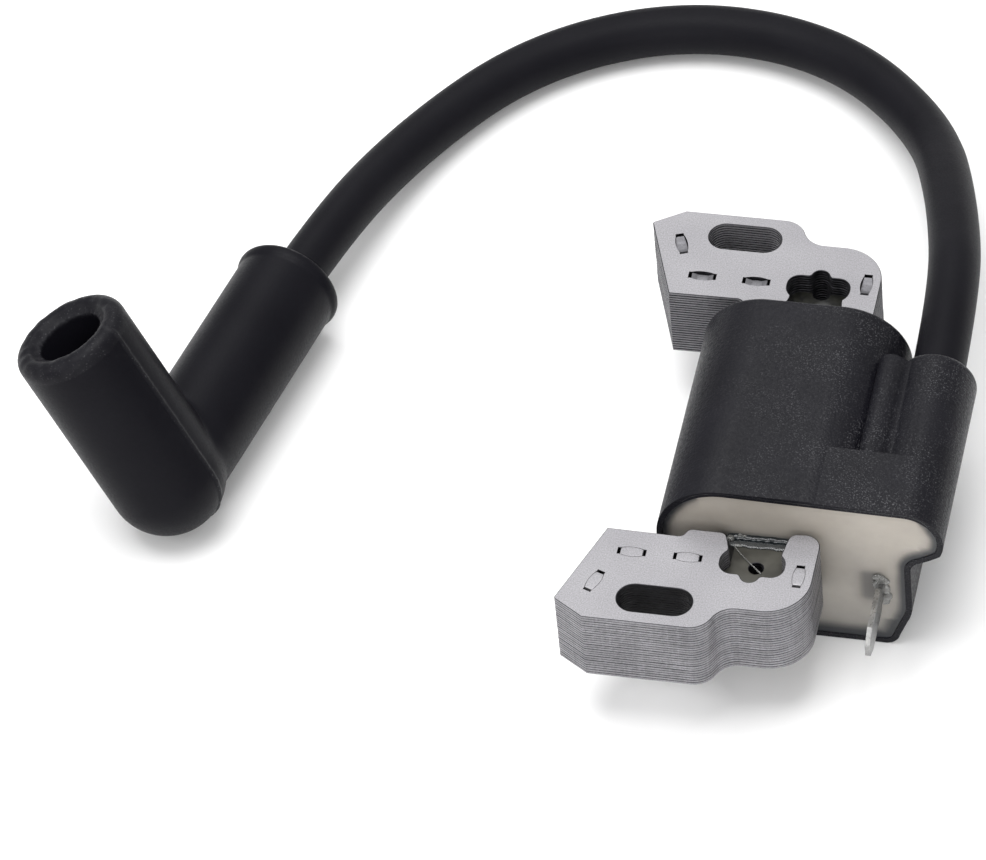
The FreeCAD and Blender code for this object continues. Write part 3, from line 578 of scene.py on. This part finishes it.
def leg_loop():
    """The rear leg's outline, with the socket that grips the bar's end and the pole face at -X."""
    heel = (2.6, 29.65)
    heel_round = 6.43
    diagonal = heel_round * math.sqrt(0.5)
    neck = BAR_HALF + CORE_GAP
    lobe = lobe_steps(CORE_GAP)
    return outline(
        (-21.8, 23.45),
        (-11.5, 23.6),
        *s_bend((-11.5, 23.6), (-9.5, 22.1)),
        (-5.6, 22.1),
        (-4.95, 22.3, -4.5, 22.9),
        (-neck, THROAT),
        *mirrored(lobe),
        *key_steps(BAR_REACH + CORE_GAP),
        *back(lobe),
        (neck, THROAT),
        (4.3, 22.2),
        (4.75, 21.35, 5.6, 21.05),
        (6.7, 20.95),
        (8.35, 21.62, 9.03, 23.3),
        (9.03, heel[1]),
        (heel[0] + diagonal, heel[1] + diagonal, heel[0], heel[1] + heel_round),
        (-0.6, heel[1] + heel_round),
        *s_bend((-0.6, heel[1] + heel_round), (-7.2, 40.5)),
        (-22.3, 40.5),
        (-26.4, 37.9),
        (-26.8, 37.55, -26.73, 37.05),
        spacing=0.3,
    )


def slot_loop():
    """The mounting slot, with round ends."""
    x, half, round_ = -12.55, 2.925, 2.575
    return outline(
        (x - half, SLOT_Y - round_),
        (x + half, SLOT_Y - round_),
        (x + half + round_, SLOT_Y, x + half, SLOT_Y + round_),
        (x - half, SLOT_Y + round_),
        (x - half - round_, SLOT_Y, x - half, SLOT_Y - round_),
        spacing=0.3,
    )


def densified(loop, spacing):
    """The loop with long sides divided, so that wear and unevenness can follow them."""
    points = []
    for a, b in zip(loop, loop[1:] + loop[:1]):
        count = max(1, round(math.dist(a, b) / spacing))
        points += [(a[0] + (b[0] - a[0]) * i / count, a[1] + (b[1] - a[1]) * i / count) for i in range(count)]
    return points


def stake_hole():
    """The slit of a stake, along X round the origin: square ends and a bulging middle."""
    return outline(
        (-2.1, -0.62),
        (-1.72, -0.62),
        (0, -0.92, 1.72, -0.62),
        (2.1, -0.62),
        (2.1, 0.62),
        (1.72, 0.62),
        (0, 0.92, -1.72, 0.62),
        (-2.1, 0.62),
        spacing=0.25,
    )


def add_stake(mesh, place, top, raised):
    """The pressed tab in a slit: flush and crowned on one side of a leg, sunk on the other."""
    long, wide = 14, 6
    rows = []
    for i in range(long + 1):
        u = -1 + 2 * i / long
        if raised:
            half = 0.86 - 0.28 * u * u
            height = 0.03 - 0.05 * abs(u) ** 6
        else:
            half = 0.80 - 0.22 * u * u
            height = -0.62 + 0.50 * max(0.0, abs(u) - 0.45) / 0.55
        row = []
        for j in range(wide + 1):
            v = -1 + 2 * j / wide
            edge = 0.02 * v**4
            row.append(place(1.6 * u, half * v, top(height - edge)))
        row = [place(1.6 * u, -half, top(-1.4)), *row, place(1.6 * u, half, top(-1.4))]
        rows.append(mesh.ring(row))
    # Painted shade: sunk tabs get the darker edge steel, raised tabs the face steel.
    look = 0 if raised else 1
    for first, second in zip(rows, rows[1:]):
        mesh.bridge(first, second, look, closed=False)
    for row, flip in ((rows[0], False), (rows[-1], True)):
        mesh.face(row[::-1] if flip else row, look)


def stack_walls(mesh, loop, floor, count, gap, jitter, looks):
    """The edges of stacked sheets, each a hair out of line, with a dark groove between them.

    Looks has a material number for each side of the loop.
    """
    inner = moved_in(loop, 0.1)
    rings = []
    for sheet in range(count):
        dx, dy = random.uniform(-jitter, jitter), random.uniform(-jitter, jitter)
        low = floor + sheet * SHEET
        outer_points = [(x + dx, y + dy) for x, y in loop]
        rings.append(mesh.ring([(x, y, low + gap * 0.4) for x, y in inner]))
        rings.append(mesh.ring([(x, y, low + gap) for x, y in outer_points]))
        rings.append(mesh.ring([(x, y, low + SHEET - gap) for x, y in outer_points]))
        rings.append(mesh.ring([(x, y, low + SHEET - gap * 0.4) for x, y in inner]))
    for index, (first, second) in enumerate(zip(rings, rings[1:])):
        on_edge = index % 4 == 1
        for i, look in enumerate(looks):
            j = (i + 1) % len(loop)
            mesh.face((first[i], first[j], second[j], second[i]), look if on_edge else 2)
    return rings[0], rings[-1]


def edge_faces(mesh, wall, rim, up, look):
    """The faces from a wall, given as its lowest and highest ring, to the rim beyond its near end."""
    low, high = wall
    if up:
        mesh.bridge(high, rim, look)
    else:
        mesh.bridge(rim, low, look)


def in_socket(x, y):
    """True in the hollow of a leg that grips the bar's end."""
    return abs(x) < 4.9 and 23.5 < abs(y) < 31.5


def make_leg(name, side):
    """A leg: side is +1 for the rear one and -1 for the front one, which lies turned over."""
    mesh = Mesh()
    roof = LEG_FLOOR + LEG_SHEETS * SHEET
    outer = wound([(x, y * side) for x, y in densified(leg_loop(), 1.0)], True)
    slot = wound([(x, y * side) for x, y in slot_loop()], False)
    worn = 0.11
    bevelled = [moved_in(loop, worn) for loop in (outer, slot)]
    walls = []
    gap = 0.11 if side > 0 else 0.055
    # Painted shade: the rear leg's socket walls, in the hollow beside the case, get the near-black steel.
    shaded_socket_looks = [2 if side > 0 and in_socket(x, y) else 1 for x, y in outer]
    for loop, looks in ((outer, shaded_socket_looks), (slot, [3] * len(slot))):
        walls.append(stack_walls(mesh, loop, LEG_FLOOR, LEG_SHEETS, gap, 0.02, looks))
    for up in (True, False):
        level = roof if up else LEG_FLOOR
        raised = up == (side < 0)
        rings = []
        for bevel, wall in zip(bevelled, walls):
            rim = mesh.ring([(x, y, level) for x, y in bevel])
            edge_faces(mesh, wall, rim, up, 0)
            rings.append(rim)
        holes = []
        for x, y, turn in STAKES:
            angle = math.radians(turn) * side
            c, s = math.cos(angle), math.sin(angle)

            def place(u, v, z, x=x, y=y * side, c=c, s=s):
                return (x + u * c - v * s, y + u * s + v * c, z)

            def top(height, level=level, up=up):
                return level + height if up else level - height

            hole = wound([place(u, v, 0)[:2] for u, v in stake_hole()], False)
            rim = mesh.ring([(px, py, level) for px, py in hole])
            deep = mesh.ring([(px, py, top(-1.3)) for px, py in hole])
            # Painted shade: the slit's walls and floor get the near-black steel.
            edge_faces(mesh, (deep, deep), rim, up, 2)
            mesh.face(deep if up else deep[::-1], 2)
            add_stake(mesh, place, top, raised)
            holes.append(hole)
            rings.append(rim)
        mesh.cap([*bevelled, *holes], rings, up, 0)
    title = name + "_sheets"
    # Painted light and shade: the rear leg's outer walls get the shaded edge steel, and its slot walls,
    # facing the light, the lighter face steel; the front slot's walls get very dark steel.
    edge, slot_wall = (STEEL_SHADED, STEEL_TOP) if side > 0 else (STEEL_EDGE, STEEL_SLOT_SHADE)
    looks = [STEEL_TOP, edge, STEEL_GROOVE_AND_SHADE, slot_wall]
    put(title, mesh.data(title, looks), replaces=[name])


def bar_loop():
    """The bar's outline, from the neck at its front end right round it."""
    lobe = lobe_steps(0)
    notch = [(NOTCH_ROUND, BAR_REACH), (0, BAR_REACH - NOTCH_ROUND, -NOTCH_ROUND, BAR_REACH)]
    half = [*lobe, *notch, *mirrored(back(lobe))]
    other = [tuple(-value for value in step) for step in half]
    return outline((BAR_HALF, LOBE_NECK - BAR_REACH), *half, *other, spacing=0.3)


def rivet_loop(side):
    turns = [math.tau * i / 28 for i in range(28)]
    return [(RIVET_ROUND * math.cos(a), side * RIVET_Y + RIVET_ROUND * math.sin(a)) for a in turns]


def make_bar():
    """The bar through the coil, with a rivet hole near each end."""
    mesh = Mesh()
    outer = wound(bar_loop(), True)
    holes = [wound(rivet_loop(side), False) for side in (-1, 1)]
    roof = LEG_FLOOR + BAR_SHEETS * SHEET
    loops = [outer, *holes]
    bevelled = [moved_in(loop, 0.08) for loop in loops]
    walls = [
        stack_walls(mesh, loop, LEG_FLOOR, BAR_SHEETS, 0.05, 0.012, [1] * len(loop)) for loop in loops
    ]
    for up in (True, False):
        level = roof if up else LEG_FLOOR
        rims = [mesh.ring([(x, y, level) for x, y in loop]) for loop in bevelled]
        for rim, wall in zip(rims, walls):
            edge_faces(mesh, wall, rim, up, 0)
        mesh.cap(bevelled, rims, up, 0)
    title = "core_bar_sheets"
    # Painted shade: the bar's sides and its rivet holes get the near-black steel.
    looks = [VARNISHED, STEEL_GROOVE_AND_SHADE, STEEL_GROOVE_AND_SHADE]
    put(title, mesh.data(title, looks), replaces=["core_bar"])


make_leg("front_leg", -1)
make_leg("rear_leg", 1)
make_bar()

# ---------------------------------------------------------------- spark plug lead

# The same route as the CAD model's lead, from inside the tower to inside the boot's sleeve.
ELBOW = Vector((-92.2, -10.4, 9.0))
HEADING = math.radians(12.9)
LEAN = math.radians(26.4)
SLEEVE_AXIS = Vector((math.sin(HEADING), math.cos(HEADING), 0))
LEAD_ROUND = 3.9
LEAD_ROUTE = [
    (0.0203, 0.002, 0.0226),
    (0.0203, 0.0285, 0.0226),
    (0.016, 0.053, 0.016),
    (0.0085, 0.078, 0.007),
    (-0.0095, 0.0955, 0.005),
    (-0.034, 0.0995, 0.0042),
    (-0.057, 0.089, 0.004),
    (-0.0725, 0.067, 0.0044),
    tuple((ELBOW + SLEEVE_AXIS * 51.0) * MM),
    tuple((ELBOW + SLEEVE_AXIS * 22.0) * MM),
]


def make_lead():
    curve = bpy.data.curves.new("spark_lead", "CURVE")
    curve.dimensions = "3D"
    curve.bevel_depth = LEAD_ROUND * MM
    curve.bevel_resolution = 10
    curve.resolution_u = 24
    curve.use_fill_caps = True
    spline = curve.splines.new("NURBS")
    spline.points.add(len(LEAD_ROUTE) - 1)
    for point, place in zip(spline.points, LEAD_ROUTE):
        point.co = (*place, 1)
    spline.order_u = 3
    spline.use_endpoint_u = True
    curve.materials.append(LEAD)
    lead = bpy.data.objects.new("spark_lead", curve)
    bpy.context.scene.collection.objects.link(lead)
    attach(lead, "coil")
    return lead


lead = make_lead()
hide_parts("lead_insulation")

# ---------------------------------------------------------------- elbow boot

BOOT_TURN = Matrix.Rotation(-HEADING, 3, "Z") @ Matrix.Rotation(-LEAN, 3, "Y")
SOCKET_ROUND = 8.95
SOCKET_REACH = 29.6
SLEEVE_ROUND = 7.95
SLEEVE_REACH = 42.5
CLIP_SEAT = 4.0
PLUG_BORE = 5.0
LIP_ROUND = 5.15
LIP_DROP = 1.3
RIDGE_HALF = 0.42
RIDGE_HEIGHT = 0.26


def from_boot(x, y, z):
    """A place in the boot's own axes: its sleeve runs along Y and its socket along Z."""
    return tuple(ELBOW + BOOT_TURN @ Vector((x, y, z)))


def socket_profile():
    """Outside round the knee and up to the mouth, then down the bore to the clip's seat."""
    diagonal = SOCKET_ROUND * math.sqrt(0.5)
    brow = 1.9
    shoulder = SOCKET_REACH - brow
    bend = brow * math.sqrt(0.5)
    return [
        (0, -SOCKET_ROUND),
        *through((0, -SOCKET_ROUND), (diagonal, -diagonal), (SOCKET_ROUND, 0), 0.5),
        (SOCKET_ROUND, shoulder),
        *through(
            (SOCKET_ROUND, shoulder),
            (SOCKET_ROUND - brow + bend, shoulder + bend),
            (SOCKET_ROUND - brow, SOCKET_REACH),
            0.3,
        ),
        (6.4, SOCKET_REACH - 0.1),
        (LIP_ROUND, SOCKET_REACH - 1.35),
        (PLUG_BORE, SOCKET_REACH - LIP_DROP),
        (PLUG_BORE, 9.0),
        (CLIP_SEAT, 9.0),
        (CLIP_SEAT, -2.0),
        (0, -2.0),
    ]


def sleeve_profile():
    """Outside along the sleeve and over its rolled rim, then down the lead's bore."""
    rim = 8.35
    bore = LEAD_ROUND + 0.09
    rounding = 1.2
    bend = rounding * math.sqrt(0.5)
    edge = SLEEVE_REACH - rounding
    return [
        (0, CLIP_SEAT + 0.05),
        (SLEEVE_ROUND, CLIP_SEAT + 0.05),
        (SLEEVE_ROUND, SLEEVE_REACH - 2.3),
        (rim - 0.1, SLEEVE_REACH - 1.9),
        (rim, edge),
        *through((rim, edge), (rim - rounding + bend, edge + bend), (rim - rounding, SLEEVE_REACH), 0.3),
        (bore, SLEEVE_REACH),
        (bore, 22.0),
        (0, 22.0),
    ]


def soften_crease(mesh, back):
    """Eases the crease between socket and sleeve into a small fillet."""
    shape = bmesh.new()
    shape.from_mesh(mesh)
    reach = 1.2
    crease = []
    for corner in shape.verts:
        x, y, z = back @ (corner.co / MM - ELBOW)
        off_socket = abs(math.hypot(x, y) - SOCKET_ROUND)
        off_sleeve = abs(math.hypot(x, z) - SLEEVE_ROUND)
        if y > 2 and off_socket < reach and off_sleeve < reach:
            crease.append(corner)
    for _ in range(24):
        bmesh.ops.smooth_vert(
            shape, verts=crease, factor=0.5, use_axis_x=True, use_axis_y=True, use_axis_z=True
        )
    shape.to_mesh(mesh)
    shape.free()


def mould_marks(local):
    """How far the skin moves at a place and how light it is made, partly as wear and partly as painted
    highlight: parting ridge, flash and mouth.
    """
    x, y, z = local
    round_, worn = math.hypot(x, y), 0.0
    lift = Vector((0, 0, 0))
    uneven = 0.5 + 0.5 * noise.noise(local * 0.9)
    outward = Vector((x, y, min(z, 0))).normalized()
    skin = Vector((x, y, min(z, 0))).length
    if x > 0 and abs(y) < RIDGE_HALF and skin > SOCKET_ROUND - 2.2 and z < SOCKET_REACH:
        crown = 1 - (y / RIDGE_HALF) ** 2
        lift += outward * RIDGE_HEIGHT * crown * (0.45 + 0.9 * uneven)
        worn = crown * 0.7
    lip = fade(math.hypot(round_ - LIP_ROUND, z - (SOCKET_REACH - LIP_DROP)), 0.35)
    if lip > 0.05:
        ragged = noise.noise(local * 1.7) + 0.6 * noise.noise(local * 4.1)
        lift += Vector((-x / round_, -y / round_, 1.4)) * lip * (0.05 + 0.14 * ragged)
        worn = max(worn, lip * (0.5 + ragged))
    mouth = z > SOCKET_REACH - 2.6 and round_ > PLUG_BORE + 0.2
    if mouth:
        lift += Vector((0, 0, 1)) * 0.1 * noise.noise(local * 0.7)
        worn = max(worn, 0.35 + 0.4 * noise.noise(local * 0.6))
    seam = mouth and x > 0 and abs(y + 0.25 * noise.noise(local)) < 0.3
    if seam:
        lift += Vector((0, 0, 0.16 * uneven))
        worn = max(worn, 0.8)
    return lift, min(1.0, max(0.0, worn))


def make_boot():
    """The moulded boot, with its parting ridge and the ragged flash round its mouth."""
    solids = Mesh()
    solids.turned(socket_profile(), from_boot, 96)

    def along_sleeve(x, z, y):
        return from_boot(x, y, z)

    solids.turned(sleeve_profile(), along_sleeve, 96)
    mesh = fused("elbow_boot", solids, 0.28, 2)
    back = BOOT_TURN.transposed()
    soften_crease(mesh, back)
    shades = []
    for corner in mesh.vertices:
        local = back @ (corner.co / MM - ELBOW)
        lift, worn = mould_marks(local)
        corner.co = (ELBOW + BOOT_TURN @ (local + lift)) * MM
        shades.append(worn)
    shade_points(mesh, "worn", shades)
    mesh.materials.append(BOOT)
    return put("elbow_boot", mesh, "boot", ["boot"])


elbow_boot = make_boot()

# ---------------------------------------------------------------- epoxy and terminal

CASE_FRONT = -20.0
TOWER = (20.4, 22.6)
TOWER_ROUND = 5.9
SIDE = 21.4
CASE_TOP = 29.05
COIL_HALF = 15.55
# Upright boxes in the front's plane, by two corners: what the epoxy climbs round the bar and the
# terminal's root, and where painted shade darkens it round them.
BAR_CLIMB = ((-4.6, 10.5), (4.6, 19.6))
ROOT_CLIMB = ((16.6, 10.6), (17.4, 13.1))
BAR_SHADOW = ((-5.5, 10.5), (5.0, 19.8))
ROOT_SHADOW = ((14.8, 9.8), (16.6, 14.2))


def front_loop():
    """The case's open front: coil chamber, tower and module chamber in one."""
    upper, lower = 10.0, 8.5
    upper_bend = upper * (1 - math.sqrt(0.5))
    lower_bend = lower * (1 - math.sqrt(0.5))

    def on_tower(degrees):
        turn = math.radians(degrees)
        return TOWER[0] + TOWER_ROUND * math.cos(turn), TOWER[1] + TOWER_ROUND * math.sin(turn)

    return outline(
        (upper - COIL_HALF, CASE_TOP),
        on_tower(90),
        (*on_tower(45), *on_tower(0)),
        (*on_tower(-12.5), *on_tower(-25)),
        (24.3, 19.1),
        (22.9, 18.3),
        (21.8, 17.5, SIDE, 16.2),
        (SIDE, 8.0),
        (SIDE - 0.2, 6.6, SIDE - 0.7, 5.3),
        (19.4, 1.9),
        (18.7, 0.6, 17.5, 0),
        (lower - COIL_HALF, 0),
        (lower_bend - COIL_HALF, lower_bend, -COIL_HALF, lower),
        (-COIL_HALF, CASE_TOP - upper),
        (upper_bend - COIL_HALF, CASE_TOP - upper_bend, upper - COIL_HALF, CASE_TOP),
        spacing=0.4,
    )


def rim_shown(x, z):
    """How much of the rim stays clear of epoxy, which runs over it along the top."""
    level = min(1.0, max(0.0, (z - 25.5) / 2.5))
    return 0.95 - 0.65 * level


def shadow_width(x, z):
    """How far in from the rim the epoxy is darkened, partly where it is thin over the black case and partly
    as painted shade along the rim and under the tower's lip.
    """
    if z > 27:
        return 0.16
    if x < -9:
        return 1.3
    if z < 5:
        return 2.2
    if x > 18 and z < 21:
        return 1.3
    if x > 22.5:
        return 1.3
    return 0.7


def off_box(x, z, low, high):
    """Distance in the front's plane from an upright box."""
    return math.hypot(max(low[0] - x, 0, x - high[0]), max(low[1] - z, 0, z - high[1]))


def make_potting():
    """The epoxy's open face, which climbs its rim and whatever sticks out of it."""
    loop = wound(densified(front_loop(), 0.5), True)
    edge = []
    for (x, z), (ix, iz) in zip(loop, moved_in(loop, 1.0)):
        inset = rim_shown(x, z) + 0.05 * noise.noise(Vector((x, z, 0)) * 0.6)
        edge.append((x + (ix - x) * inset, z + (iz - z) * inset))
    inner = moved_in(loop, 0.94)
    mesh = Mesh()
    shades = []

    def depth(x, z, off_rim):
        over_rim = 0.0 if rim_shown(x, z) > 0.8 else 0.19
        climb = (0.15 + over_rim) * fade(off_rim, 0.9)
        climb += 0.22 * fade(off_box(x, z, *BAR_CLIMB), 0.7)
        climb += 0.35 * fade(off_box(x, z, *ROOT_CLIMB), 0.8)
        swell = 0.05 * min(off_rim, 1) * noise.noise(Vector((x, z, 3)) * 0.12)
        return CASE_FRONT + 0.33 - climb - swell

    # How dark the epoxy is made: painted shade round the bar and the terminal's root, and along the rim,
    # where the epoxy is also thin over the black case.
    def shadow(x, z, off_rim):
        rim = fade(off_rim, shadow_width(x, z) + 0.25 * noise.noise(Vector((x, z, 9)) * 0.3))
        bar = 0.75 * fade(off_box(x, z, *BAR_SHADOW), 1.3)
        root = 0.6 * fade(off_box(x, z, *ROOT_SHADOW), 1.4)
        return max(rim, bar, root)

    front = mesh.ring([(x, depth(x, z, 0), z) for x, z in edge])
    shades += [shadow(x, z, 0) for x, z in edge]
    behind = mesh.ring([(x, CASE_FRONT + 0.1, z) for x, z in inner])
    back = mesh.ring([(x, CASE_FRONT + 3.0, z) for x, z in inner])
    # The sides behind the rim are made fully dark.
    shades += [1.0] * (len(behind) + len(back))
    extra = []
    left, width, height, step = -16, 42, 30, 0.6
    for column in range(int(width / step)):
        for row in range(int(height / step)):
            x, z = left + column * step, row * step
            off_rim = distance_to((x, z), edge)
            if off_rim > 0.3 and inside((x, z), edge):
                index = mesh.ring([(x, depth(x, z, off_rim), z)])[0]
                shades.append(shadow(x, z, off_rim))
                extra.append((x, z, index))
    mesh.cap([edge], [front], True, extra=extra)
    mesh.bridge(behind, front)
    mesh.bridge(back, behind)
    mesh.face(back[::-1])
    data = mesh.data("potting_face", [EPOXY], 60)
    # The thin attribute carries this painted shade as well as the thinness at the rim.
    shade_points(data, "thin", shades)
    put("potting_face", data, replaces=["potting"])


def make_blobs(name, material, seeds, voxel, passes, rough):
    """Drops that ran together. A seed is a middle and three half sizes."""
    solids = Mesh()
    for x, y, z, a, b, c in seeds:

        def place(u, v, h, x=x, y=y, z=z, a=a, b=b, c=c):
            return (x + a * u, y + b * v, z + c * h)

        profile = [(math.sin(math.pi * i / 10), -math.cos(math.pi * i / 10)) for i in range(11)]
        solids.turned(profile, place, 18)
    mesh = fused(name, solids, voxel, passes)
    for corner in mesh.vertices:
        at = corner.co / MM
        corner.co += corner.normal * rough * MM * noise.noise(at * 1.6)
    mesh.materials.append(material)
    put(name, mesh)


def evenly(count, half):
    """Places along X from -half to half."""
    return [-half + i * 2 * half / (count - 1) for i in range(count)]


def make_film():
    """Clear epoxy that crept out: a bead and a film along the bar's top, drops at their ends and
    drops at the terminal's root."""
    bead = [
        (x, -19.95, 19.75, 0.9, random.uniform(0.62, 0.78), random.uniform(0.62, 0.74))
        for x in evenly(15, 4.4)
    ]
    make_blobs("epoxy_bead", DARK_CLEAR, bead, 0.14, 16, 0.03)
    film = [(x, -20.75, 19.6, 0.9, random.uniform(0.82, 1.04), 0.24) for x in evenly(11, 3.9)]
    make_blobs("epoxy_film", THIN_CLEAR, film, 0.1, 22, 0.02)
    ends = [
        (-4.5, -20.4, 20.0, 0.6, 0.6, 0.45),
        (-3.4, -21.35, 19.62, 0.9, 0.3, 0.2),
        (-3.2, -20.0, 20.45, 0.35, 0.3, 0.25),
        (-2.5, -20.1, 20.4, 0.3, 0.25, 0.2),
        (2.9, -21.4, 19.6, 1.1, 0.16, 0.14),
    ]
    make_blobs("epoxy_bead_ends", CLEAR, ends, 0.1, 5, 0.03)
    root = [
        (16.7, -19.9, 14.2, 1.0, 0.45, 0.6),
        (17.6, -19.9, 13.5, 0.8, 0.4, 0.7),
        (16.4, -20.1, 12.8, 0.7, 0.45, 0.9),
        (17.7, -20.0, 12.0, 0.7, 0.45, 1.0),
        (16.8, -20.4, 11.6, 0.45, 0.8, 0.9),
        (17.9, -19.9, 10.4, 0.8, 0.35, 0.9),
        (17.4, -19.9, 9.2, 0.9, 0.3, 0.8),
    ]
    make_blobs("terminal_root", CLEAR, root, 0.12, 6, 0.1)


def make_string():
    """A thin string of epoxy that stands out from the film's end and swells towards its tip."""
    curve = bpy.data.curves.new("epoxy_string", "CURVE")
    curve.dimensions = "3D"
    curve.bevel_depth = 0.065 * MM
    curve.bevel_resolution = 3
    curve.use_fill_caps = True
    spline = curve.splines.new("NURBS")
    places = [(-3.7, -21.9, 20.0), (-2.4, -23.2, 19.7), (-0.6, -24.9, 19.7), (0.9, -26.2, 19.55)]
    spline.points.add(len(places) - 1)
    for point, place, swelling in zip(spline.points, places, (1.0, 1.0, 1.3, 2.2)):
        point.co = (*(c * MM for c in place), 1)
        point.radius = swelling
    spline.order_u = 3
    spline.use_endpoint_u = True
    curve.materials.append(CLEAR)
    put("epoxy_string", curve)


make_potting()
make_film()
make_string()

# ---------------------------------------------------------------- CAD pieces that stay

for node_name, width in (("case", 0.22), ("kill_terminal", 0.18)):
    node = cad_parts[node_name]
    weld = node.modifiers.new("weld", "WELD")
    weld.merge_threshold = 0.002 * MM
    worn = node.modifiers.new("worn_edges", "BEVEL")
    worn.width = width * MM
    worn.segments = 3
    worn.angle_limit = math.radians(40)
    worn.harden_normals = True

for node_name, material in (
    ("case", CASE),
    ("kill_terminal", TIN),
    ("primary_bobbin", BOBBIN),
    ("secondary_bobbin", BOBBIN),
    ("primary_winding", COPPER),
    ("secondary_winding", COPPER),
    ("primary_tape", TAPE),
    ("module_board", BOARD),
    ("power_transistor", COMPONENT),
    ("control_transistor", COMPONENT),
    ("bias_resistors", COMPONENT),
    ("high_tension_terminal", BRASS),
    ("primary_start_wire", STRAND),
    ("primary_end_wire", STRAND),
    ("secondary_return_wire", STRAND),
    ("secondary_lead_wire", STRAND),
    ("ground_wire", STRAND),
    ("lead_conductor", STRAND),
    ("plug_clip", TIN),
    ("boot_spike", TIN),
):
    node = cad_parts[node_name]
    node.data.materials.clear()
    node.data.materials.append(material)

# ---------------------------------------------------------------- studio

LIT_POINT = (-0.03, 0.0, 0.0)
LAMPS = (
    ("overhead", (-0.2, 0.05, 1.2), 1.0, 12),
    ("rear", (-0.25, 1.0, 0.9), 0.8, 2.2),
    ("left", (-1.1, -0.5, 0.6), 0.7, 3),
    ("front", (0.1, -1.2, 0.6), 0.9, 6),
)


def make_floor():
    """A plain pale floor, a hair under the coil."""
    finish = Finish("floor", roughness=0.9)
    finish.set("Base Color", finish.ramp(finish.noise(0.004, 2.0), (0.3, 0.90), (0.7, 0.92)))
    mesh = bpy.data.meshes.new("floor")
    reach = 4.0
    drop = -0.0001
    corners = [(-reach, -reach, drop), (reach, -reach, drop), (reach, reach, drop), (-reach, reach, drop)]
    mesh.from_pydata(corners, [], [(0, 1, 2, 3)])
    mesh.materials.append(finish.material)
    floor = bpy.data.objects.new("floor", mesh)
    bpy.context.scene.collection.objects.link(floor)


def make_light(name, place, size, power):
    """A soft round lamp that points at the middle of the object."""
    data = bpy.data.lights.new(name, "AREA")
    data.shape = "DISK"
    data.size = size
    data.energy = power
    light = bpy.data.objects.new(name, data)
    light.location = place
    direction = Vector(LIT_POINT) - Vector(place)
    light.rotation_euler = direction.to_track_quat("-Z", "Y").to_euler()
    bpy.context.scene.collection.objects.link(light)


def make_world():
    """A sky that is bright overhead, like a large soft box, and dimmer towards the horizon."""
    world = bpy.data.worlds.new("studio")
    world.use_nodes = True
    tree = world.node_tree
    place = tree.nodes.new("ShaderNodeTexCoord")
    height = tree.nodes.new("ShaderNodeSeparateXYZ")
    tones = tree.nodes.new("ShaderNodeValToRGB")
    tones.color_ramp.elements[0].color = (0.26, 0.26, 0.26, 1)
    tones.color_ramp.elements[1].color = (1, 1, 1, 1)
    tones.color_ramp.elements[1].position = 0.8
    tree.links.new(place.outputs["Generated"], height.inputs[0])
    tree.links.new(height.outputs["Z"], tones.inputs["Fac"])
    tree.links.new(tones.outputs["Color"], tree.nodes["Background"].inputs["Color"])
    tree.nodes["Background"].inputs["Strength"].default_value = 0.9
    bpy.context.scene.world = world


def make_camera():
    """The photograph's viewing angle: raised 47 degrees, from the open front and a little right."""
    data = bpy.data.cameras.new("camera")
    data.sensor_width = 36
    data.lens = 237.94
    data.clip_end = 20
    camera = bpy.data.objects.new("camera", data)
    right = Vector((0.9758, 0.2044, -0.0771)).normalized()
    back = Vector((0.1942, -0.6498, 0.7349)).normalized()
    up = back.cross(right).normalized()
    right = up.cross(back)
    target = Vector((-42.07, -7.12, 23.0)) * MM
    distance = 0.9496
    spot = target + back * distance
    turned = Matrix((right, up, back)).transposed().to_4x4()
    camera.matrix_world = Matrix.Translation(spot) @ turned
    bpy.context.scene.collection.objects.link(camera)
    bpy.context.scene.camera = camera


make_floor()
for lamp in LAMPS:
    make_light(*lamp)
make_world()
make_camera()
bpy.context.scene.view_settings.view_transform = "Standard"
